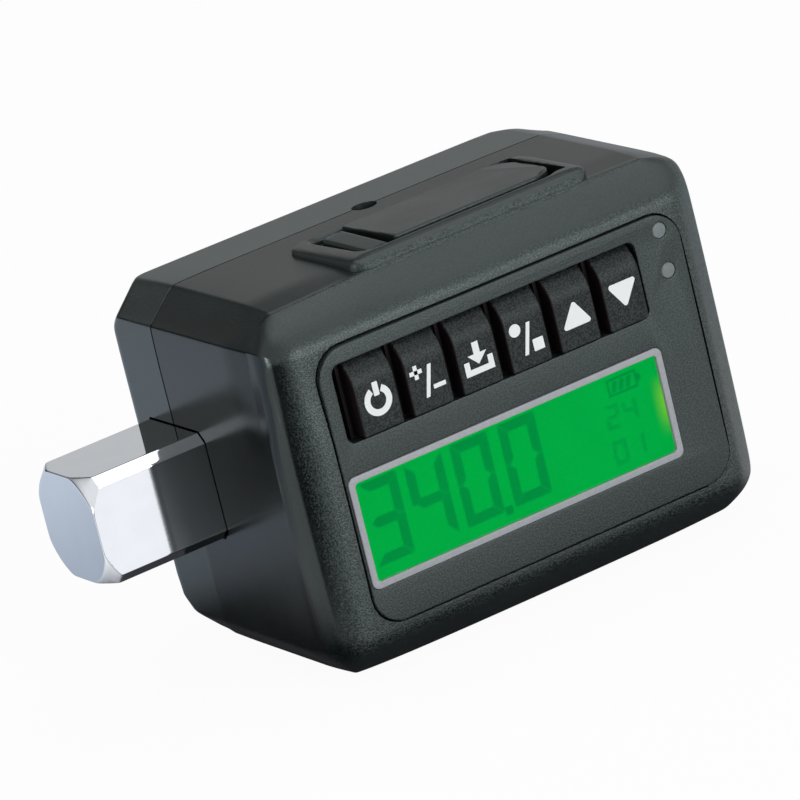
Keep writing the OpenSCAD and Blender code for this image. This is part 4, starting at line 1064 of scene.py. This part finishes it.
@dataclass
class Keypad:
    """Six keys with sloped tops, their flanges, and a printed sign on each."""

    nodes: tuple[str, ...] = ("clear_key", "unit_key", "memory_key", "mode_key", "up_key", "down_key")
    first: float = 9.13
    width: float = 5.32
    pitch: float = 6.62
    low: float = 5.55
    high: float = 14.15
    face: float = -26.27
    back: float = -23.4

    def cap(self, x: float) -> SoftSolid:
        """One key: a side outline with a sloped top, and upright sides, blended."""
        side = outline_field([(self.face, self.low, 0.25), (self.back, self.low, 0),
                              (self.back, self.high, 0), (self.face + 1.5, self.high, 0.2),
                              (self.face, self.high - 2.0, 3.2)])
        x1 = x + self.width

        def field(p: Array) -> Array:
            """The side outline, and both sides with a slight draft towards the face."""
            draft = (p[:, 1] - self.back) * 0.02
            return softest([side(p[:, 1:]), x - p[:, 0] - draft, p[:, 0] - x1 - draft], 0.09)

        marks = (spaced(x, x1, 0.12, 0.9, 0.7), spaced(self.face, self.back, 0.12, 0.4, 0.8),
                 np.unique(np.concatenate([spaced(self.low, self.high, 0.12, 0.8, 0.8),
                                           np.arange(self.high - 3.4, self.high - 0.8, 0.12)])))
        return SoftSolid(field, ((x + x1) / 2, self.face + 1.6, 9.6), marks)

    def signs(self, x: float) -> dict[str, list[Loop]]:
        """The printed signs, by node, round the middle of a key that starts at x."""
        cx, cz = x + self.width / 2, 9.1
        angle = np.linspace(math.radians(118), math.radians(422), 34)
        arc = np.stack([np.cos(angle), np.sin(angle)], axis=1)
        ring = Loop(np.concatenate([arc * 1.75, arc[::-1] * 1.02])[::-1] + [cx, cz])
        bar = Loop.box(cx - 0.36, cz + 0.55, cx + 0.36, cz + 2.15, 0.1)
        slash = Loop(np.array([[-0.75, -2.0], [-0.25, -2.0], [0.75, 1.6], [0.25, 1.6]]) + [cx, cz])
        plus = [Loop.box(cx - 2.15, cz + 0.95, cx - 0.55, cz + 1.45, 0.05),
                Loop.box(cx - 1.6, cz + 0.4, cx - 1.1, cz + 2.0, 0.05)]
        minus = Loop.box(cx + 0.45, cz - 1.35, cx + 2.05, cz - 0.85, 0.05)
        tray = Loop(np.array([[-1.9, -1.75], [1.9, -1.75], [1.9, -0.1], [1.2, -0.1], [1.2, -1.05],
                              [-1.2, -1.05], [-1.2, -0.1], [-1.9, -0.1]]) + [cx, cz])
        arrow = Loop(np.array([[0, -0.7], [1.25, 0.55], [0.42, 0.55], [0.42, 1.9], [-0.42, 1.9],
                               [-0.42, 0.55], [-1.25, 0.55]]) + [cx, cz])
        dot = Loop.circle(cx - 1.35, cz + 1.2, 0.75, 28)
        square = Loop.box(cx + 0.55, cz - 1.95, cx + 1.95, cz - 0.55, 0.12)
        left, right, r = cx - 2.05, cx + 2.05, 0.3
        up = Loop.rounded([(left, cz - 1.2, r), (right, cz - 1.2, r), (cx, cz + 1.9, r)], 4)
        down = Loop.rounded([(left, cz + 1.7, r), (cx, cz - 1.4, r), (right, cz + 1.7, r)], 4)
        return {"clear_key": [ring, bar], "unit_key": [slash, *plus, minus], "memory_key": [tray, arrow],
                "mode_key": [slash, dot, square], "up_key": [up], "down_key": [down]}

    def build(self) -> None:
        """Makes each key's cap, flange and sign, which ride on its own body."""
        for i, node in enumerate(self.nodes):
            x = self.first + i * self.pitch
            Pieces.add(self.cap(x).skin().mesh(node), node + "_cap", node, Finishes.key, "key", [node])
            flange = Plate(Loop.box(x - 0.45, self.low - 0.7, x + self.width + 0.45, self.high + 0.7, 0.2),
                           -23.9, self.back - 0.02, 0.05)
            # the flange fills the gaps in the dark brown that also paints their shade
            Pieces.add(flange.skin().mesh("flange"), node + "_flange", node, Finishes.gap, "mat")
            signs = [Plate(loop, self.face - 0.025, self.face + 0.05, 0.015, steps=1).skin()
                     for loop in self.signs(x)[node]]
            Pieces.add(Skin.join(signs).mesh("sign"), node + "_sign", node, Finishes.legend, "key")


@dataclass
class BatteryDoor:
    """The lid in its rim, the finger latch, and the cells under them."""

    left: float = 23.3
    right: float = 45.4
    front: float = -17.78
    back: float = -5.72
    cell_axis: tuple[float, float] = (-11.75, 13.9)

    def lid(self) -> SoftSolid:
        """The lid's rounded outside, carried far enough down to keep the hinge and the guides."""
        n = 0.01
        x0, x1, y0, y1 = self.left + n, self.right - n, self.front + n, self.back - n
        plan = outline_field([(x0, y0 + 0.3, 0.35), (x1, y0 + 0.3, 3.2), (x1, y1, 3.2), (x0, y1, 0.35)])
        slope = (RIM_BACK_TOP - RIM_TOP) / (RIM_BACK - RIM_FRONT)
        front_top = np.array([self.front + 0.3, RIM_TOP + slope * 3.22])

        def lip(p: Array) -> Array:
            """The flat across the front edge, 0.2 below the corner, facing half up."""
            return ((front_top[0] - p[:, 1]) + (p[:, 2] - front_top[1])) / math.sqrt(2) + 0.2

        def field(p: Array) -> Array:
            """The plan, the sloping top, the front edge's flat and a far underside, blended."""
            top = p[:, 2] - (RIM_TOP + slope * (p[:, 1] - RIM_FRONT) - 0.05)
            return softest([plan(p[:, :2]), top, 12.0 - p[:, 2], lip(p)], 0.09)

        marks = (spaced(x0, x1, 0.25, 1.8, 4.0), spaced(y0, y1, 0.25, 1.2, 4.0),
                 spaced(12.0, 23.3, 0.2, 2.0, 1.6))
        return SoftSolid(field, (34.3, -11.75, 20.0), marks)

    def pad(self) -> SoftSolid:
        """The latch's finger pad, a wedge with softened edges."""
        x0, x1, y0, y1, low, top = 19.5, 22.5, -17.68, -7.62, 20.6, 22.6
        side = outline_field([(x0, low, 0), (x1, low, 0), (x1, top, 0.5), (x0, 22.35, 0.5)])

        def field(p: Array) -> Array:
            """The wedge's outline and both of its ends."""
            return softest([side(p[:, ::2]), y0 - p[:, 1], p[:, 1] - y1], 0.12)

        marks = (spaced(x0, x1, 0.15, 0.5, 0.8), spaced(y0, y1, 0.15, 1.0, 0.9),
                 spaced(low, top, 0.15, 0.3, 0.6))
        return SoftSolid(field, (21.0, -12.65, 21.2), marks)

    def cell(self, x: float, length: float) -> Skin:
        """A battery cell: a can with a rolled shoulder, a crimped groove and a small button."""
        r = 5.8
        rim = [(r, 2.2), (r - 0.18, 1.9), (r, 1.6), (r, 0.9), (r - 0.25, 0.5), (r - 1.0, 0.42), (2.7, 0.42),
               (2.6, 0.08), (2.3, 0), (0, 0)]
        profile = [(0, 0), (r - 0.9, 0), (r - 0.3, 0.12), (r, 0.5)]
        profile += [(out, length - back) for out, back in rim]
        return lathe(profile, "x", (x, *self.cell_axis), 72)

    def spring(self, x: float, length: float) -> Skin:
        """A conical coil: a tube of 0.3 mm carried along r(t) = 1.6 + 2.2 (1 - t)."""
        t = np.linspace(0, 1, 150)[:, None]
        turn = np.linspace(0, 2 * math.pi, 10, endpoint=False)
        angle = 2 * math.pi * 3.5 * t
        radius = 1.6 + 2.2 * (1 - t) + 0.28 * np.cos(turn)
        y, z = self.cell_axis
        points = np.stack([x + 0.3 + (length - 0.6) * t + 0.28 * np.sin(turn),
                           y + radius * np.cos(angle), z + radius * np.sin(angle)], axis=-1)
        caps = [Skin(points[end], [tuple(range(10))]) for end in (0, -1)]
        return Skin.join([grid(points, round_cols=True), *caps])

    def build(self) -> None:
        """Makes the lid, the latch, the cells and their contacts."""
        outside = self.lid()
        lid = Pieces.combine(Pieces.cad_copy("battery_door"), outside.skin().mesh("lid"), "INTERSECT")
        Pieces.add(lid, "door_lid", "door", Finishes.door, "shell", ["battery_door"], 24, [outside.field])
        plate = Plate(Loop(np.array([[19.17, 20.05], [27.47, 20.05], [27.47, 20.9], [19.17, 20.9]])),
                      -15.35, -9.95, 0.08)
        latch = Pieces.combine(plate.skin().mesh("plate"), self.pad().skin().mesh("pad"), "UNION")
        Pieces.add(latch, "finger_latch", "latch", Finishes.latch, "latch", ["door_latch"], 24)
        low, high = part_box("battery_cells")
        length = (high.x - low.x) / MM / 2
        start = low.x / MM - AXIS[0]
        cells = Skin.join([self.cell(start, length - 0.06), self.cell(start + length, length - 0.02)])
        Pieces.add(cells.mesh("cells"), "battery_pair", "case", Finishes.bright, "cell_metal",
                   ["battery_cells"])
        low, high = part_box("contact_spring")
        coil = self.spring(low.x / MM - AXIS[0], (high.x - low.x) / MM)
        Pieces.add(coil.mesh("coil"), "contact_coil", "case", Finishes.brass, "contact", ["contact_spring"])
        Pieces.dress(Finishes.brass, "contact_plate")
        Pieces.dress(Finishes.inner, "battery_cradle")
        Pieces.dress(Finishes.bright, "hinge_pin")


@dataclass
class DriveShaft:
    """The chromed shaft: a male square with a turned tip, and the socket end."""

    half: float = 6.35
    bevel: float = 1.05
    tip: float = -15.4
    tip_radius: float = 6.8

    def square(self) -> SoftSolid:
        """The male square: four flats, four bevels, the turned cone and the flat tip."""
        n = 0.008
        flat = self.half - n
        corner = (2 * self.half - self.bevel) / math.sqrt(2) - n
        slope = (self.half * math.sqrt(2) - self.tip_radius) / 2.2
        lean = math.hypot(1, slope)

        def field(p: Array) -> Array:
            """Distances beyond each face of the square, beyond the cone, and beyond both ends."""
            x, y, z = p[:, 0], p[:, 1], p[:, 2]
            around = np.hypot(y, z)
            cone = (around - self.tip_radius - slope * (x - self.tip)) / lean
            y, z = np.abs(y), np.abs(z)
            bevels = softest([(y + z) / math.sqrt(2) - corner, y - flat, z - flat], 0.045)
            return softest([bevels, softest([cone - n, self.tip + n - x], 0.08), x - 1.0], 0.06)

        marks = (spaced(self.tip, 1.0, 0.08, 1.0, 3.2), spaced(-self.half, self.half, 0.1, 0.5, 2.4),
                 spaced(-self.half, self.half, 0.1, 0.5, 2.4))
        return SoftSolid(field, (-9.0, 0.0, 0.0), marks)

    def build(self) -> None:
        """Cuts the shaft out of its rounded outside, and dresses what runs with it."""
        rest = lathe([(0, 0.5), (13, 0.5), (13, 61), (0, 61)], "x", (0, 0, 0), 48)
        square = self.square()
        outside = Pieces.combine(square.skin().mesh("square"), rest.mesh("rest"), "UNION")
        shaft = Pieces.combine(Pieces.cad_copy("torque_shaft"), outside, "INTERSECT")
        Pieces.add(shaft, "drive_shaft", "case", Finishes.chrome, "chrome_steel", ["torque_shaft"], 20,
                   [square.field])
        Pieces.dress(Finishes.chrome, "detent_ball")
        Pieces.dress(Finishes.bright, "detent_spring")
        Pieces.dress(Finishes.bush, "drive_bush", "socket_bush")
        Pieces.dress(Finishes.rubber, "shaft_seal")
        Pieces.dress(Finishes.dark, "retaining_ring", "case_screws")
        Pieces.dress(Finishes.film, "strain_gauges", "sensor_lead")


@dataclass
class Electronics:
    """What the case hides: board, chips, switches, display cell, mat and buzzer."""

    def build(self) -> None:
        """Dresses the hidden nodes."""
        Pieces.dress(Finishes.board, "main_board")
        Pieces.dress(Finishes.chip, "controller_chip", "amplifier_chip", "buzzer")
        Pieces.dress(Finishes.bright, "board_capacitors", "board_screws", "dome_switches")
        Pieces.dress(Finishes.gap, "keypad_mat")
        Pieces.dress(Finishes.led, "indicator_leds")
        Pieces.dress(Finishes.display, "lcd_cell")
        Pieces.dress(Finishes.guide, "lcd_backlight")
        Pieces.dress(Finishes.strip, "zebra_strips")


@dataclass
class Studio:
    """Camera, lamps, world and floor."""

    eye: tuple[float, float, float] = (-0.33973, -0.64181, 0.253915)
    right: tuple[float, float, float] = (0.82213, -0.52144, -0.22847)
    down: tuple[float, float, float] = (-0.3502, -0.1468, -0.9251)
    ahead: tuple[float, float, float] = (0.44884, 0.84057, -0.30329)
    focal: float = 6784.76
    frame_px: float = 800.0
    ambient: float = 0.35
    floor_white: float = 0.95
    lamps: tuple[tuple[str, tuple[float, float, float], tuple[float, float], float], ...] = (
        ("top_lamp", (0.25, 0.0, 1.1), (1.2, 1.2), 4.0),
        ("front_lamp", (0.25, -1.05, 0.3), (0.5, 0.5), 6.0),
        ("left_lamp", (-0.87, -0.24, 0.1), (0.26, 0.3), 1.6))

    def camera(self) -> None:
        """Places the camera that the photograph was fitted to."""
        data = bpy.data.cameras.new("camera")
        data.sensor_width = 36.0
        data.lens = self.focal / self.frame_px * data.sensor_width
        data.clip_start, data.clip_end = 0.01, 20.0
        obj = bpy.data.objects.new("camera", data)
        bpy.context.scene.collection.objects.link(obj)
        turn = Matrix((self.right, self.down, self.ahead)).transposed()
        turn = turn @ Matrix.Diagonal((1, -1, -1))
        obj.matrix_world = Matrix.Translation(self.eye) @ turn.to_4x4()
        bpy.context.scene.camera = obj

    def lamp(self, name: str, place: tuple[float, float, float], size: tuple[float, float], power: float,
             aim: tuple[float, float, float] = (0.0, 0.0, 0.02)) -> None:
        """Adds a soft rectangular lamp that faces a point."""
        data = bpy.data.lights.new(name, "AREA")
        data.shape, data.size, data.size_y, data.energy = "RECTANGLE", size[0], size[1], power
        obj = bpy.data.objects.new(name, data)
        bpy.context.scene.collection.objects.link(obj)
        obj.location = place
        obj.rotation_euler = (Vector(aim) - Vector(place)).to_track_quat("-Z", "Y").to_euler()

    def world(self) -> None:
        """A world that is white to the camera and plain grey light to matt surfaces. Reflections and
        glass see it nearly white in front, and at the back dark but for a band at the right."""
        tree = ShaderTree(bpy.data.worlds.new("studio"))
        x, y, z = tree.parts()
        back = y.between(-0.1, 0.6)
        lit = x.between(0.05, 0.42) * (1 - z.between(0.32, 0.62))
        dim = (1 - x.between(-0.3, 0.0)) * z.between(0.1, 0.35) * 0.24
        level = (1 - back) * 0.84 + back * (lit * 0.5 + dim + 0.05)
        mirrored = (tree.ray("Is Glossy Ray") + tree.ray("Is Transmission Ray")) * level
        white = tree.node("ShaderNodeBackground", None, {"Color": (1, 1, 1, 1), "Strength": 1.0})
        light = tree.node("ShaderNodeBackground", None, {
            "Color": (0.95, 0.98, 1.0, 1), "Strength": tree.ray("Is Diffuse Ray") * self.ambient})
        share = tree.ray("Is Camera Ray") + mirrored
        bpy.context.scene.world = tree.finish(tree.node("ShaderNodeMixShader", None, {
            0: share, 1: light.outputs[0], 2: white.outputs[0]}))

    def floor(self) -> None:
        """A pale floor that keeps the object's shadow. Reflections and glass see it painted: white in
        front, a painted blue-grey dimness at the back, a painted shadow under the object and a painted
        dark sector to the front left."""
        tree = ShaderTree(bpy.data.materials.new("floor"))
        slow = tree.noise(400.0, 1)
        x, y = tree.place("X") - 29.5, tree.place("Y") + 6.0
        # painted for reflections: a dark sector to the front left and a shadow under the object
        sector = (x * 0.469 - y * 0.883).between(0, 14) * (y * 0.342 - x * 0.94).between(12, 40)
        under = x.between(-66, -34) * (1 - x.between(26, 40))
        under = under * y.between(-34, -20) * (1 - y.between(18, 40))
        dark = 1 - (1 - sector) * (1 - under)
        back, far, right = y.between(-10, 40), y.between(40, 95), x.between(-10, 70)
        behind = tree.mixed(far, (0.4, 0.45, 0.53, 1), (0.57, 0.63, 0.72, 1))
        front = tree.mixed(right, (1, 1, 1, 1), (0.74, 0.75, 0.76, 1))
        matt = tree.node("ShaderNodeBsdfDiffuse", None, {
            "Color": tree.mixed(slow, (0.94, 0.94, 0.94, 1), (0.97, 0.97, 0.97, 1))})
        white = tree.node("ShaderNodeEmission", None, {"Color": (1, 1, 1, 1), "Strength": 1.0})
        tinted = tree.node("ShaderNodeEmission", None, {
            "Color": tree.mixed(dark, tree.mixed(back, front, behind), (0.04, 0.04, 0.045, 1)),
            "Strength": 1.0})
        seen = tree.node("ShaderNodeMixShader", None, {
            0: tree.ray("Is Camera Ray") * self.floor_white, 1: matt.outputs[0], 2: white.outputs[0]})
        mix = tree.node("ShaderNodeMixShader", None, {
            0: tree.ray("Is Glossy Ray") + tree.ray("Is Transmission Ray"), 1: seen.outputs[0],
            2: tinted.outputs[0]})
        skin = lathe([(0, 0), (3000, 0)], "z", (22.55, -5.4, -21.75), 64)
        data = bpy.data.meshes.new("floor")
        data.from_pydata(((skin.verts + AXIS) * MM).tolist(), [], skin.faces)
        data.materials.append(tree.finish(mix))
        obj = bpy.data.objects.new("floor", data)
        bpy.context.scene.collection.objects.link(obj)

    def build(self) -> None:
        """Makes the studio."""
        self.camera()
        self.world()
        self.floor()
        for lamp in self.lamps:
            self.lamp(*lamp)
        scene = bpy.context.scene
        scene.view_settings.view_transform = "Standard"


def main() -> None:
    """Builds the studio and every sub-assembly."""
    logging.basicConfig(level=logging.INFO, format="%(message)s")
    for part in (Studio(), CaseShells(), FrontPanel(), Display(), Keypad(), BatteryDoor(), DriveShaft(),
                 Electronics()):
        LOG.info("building %s", type(part).__name__)
        part.build()


if __name__ == "__main__":
    main()
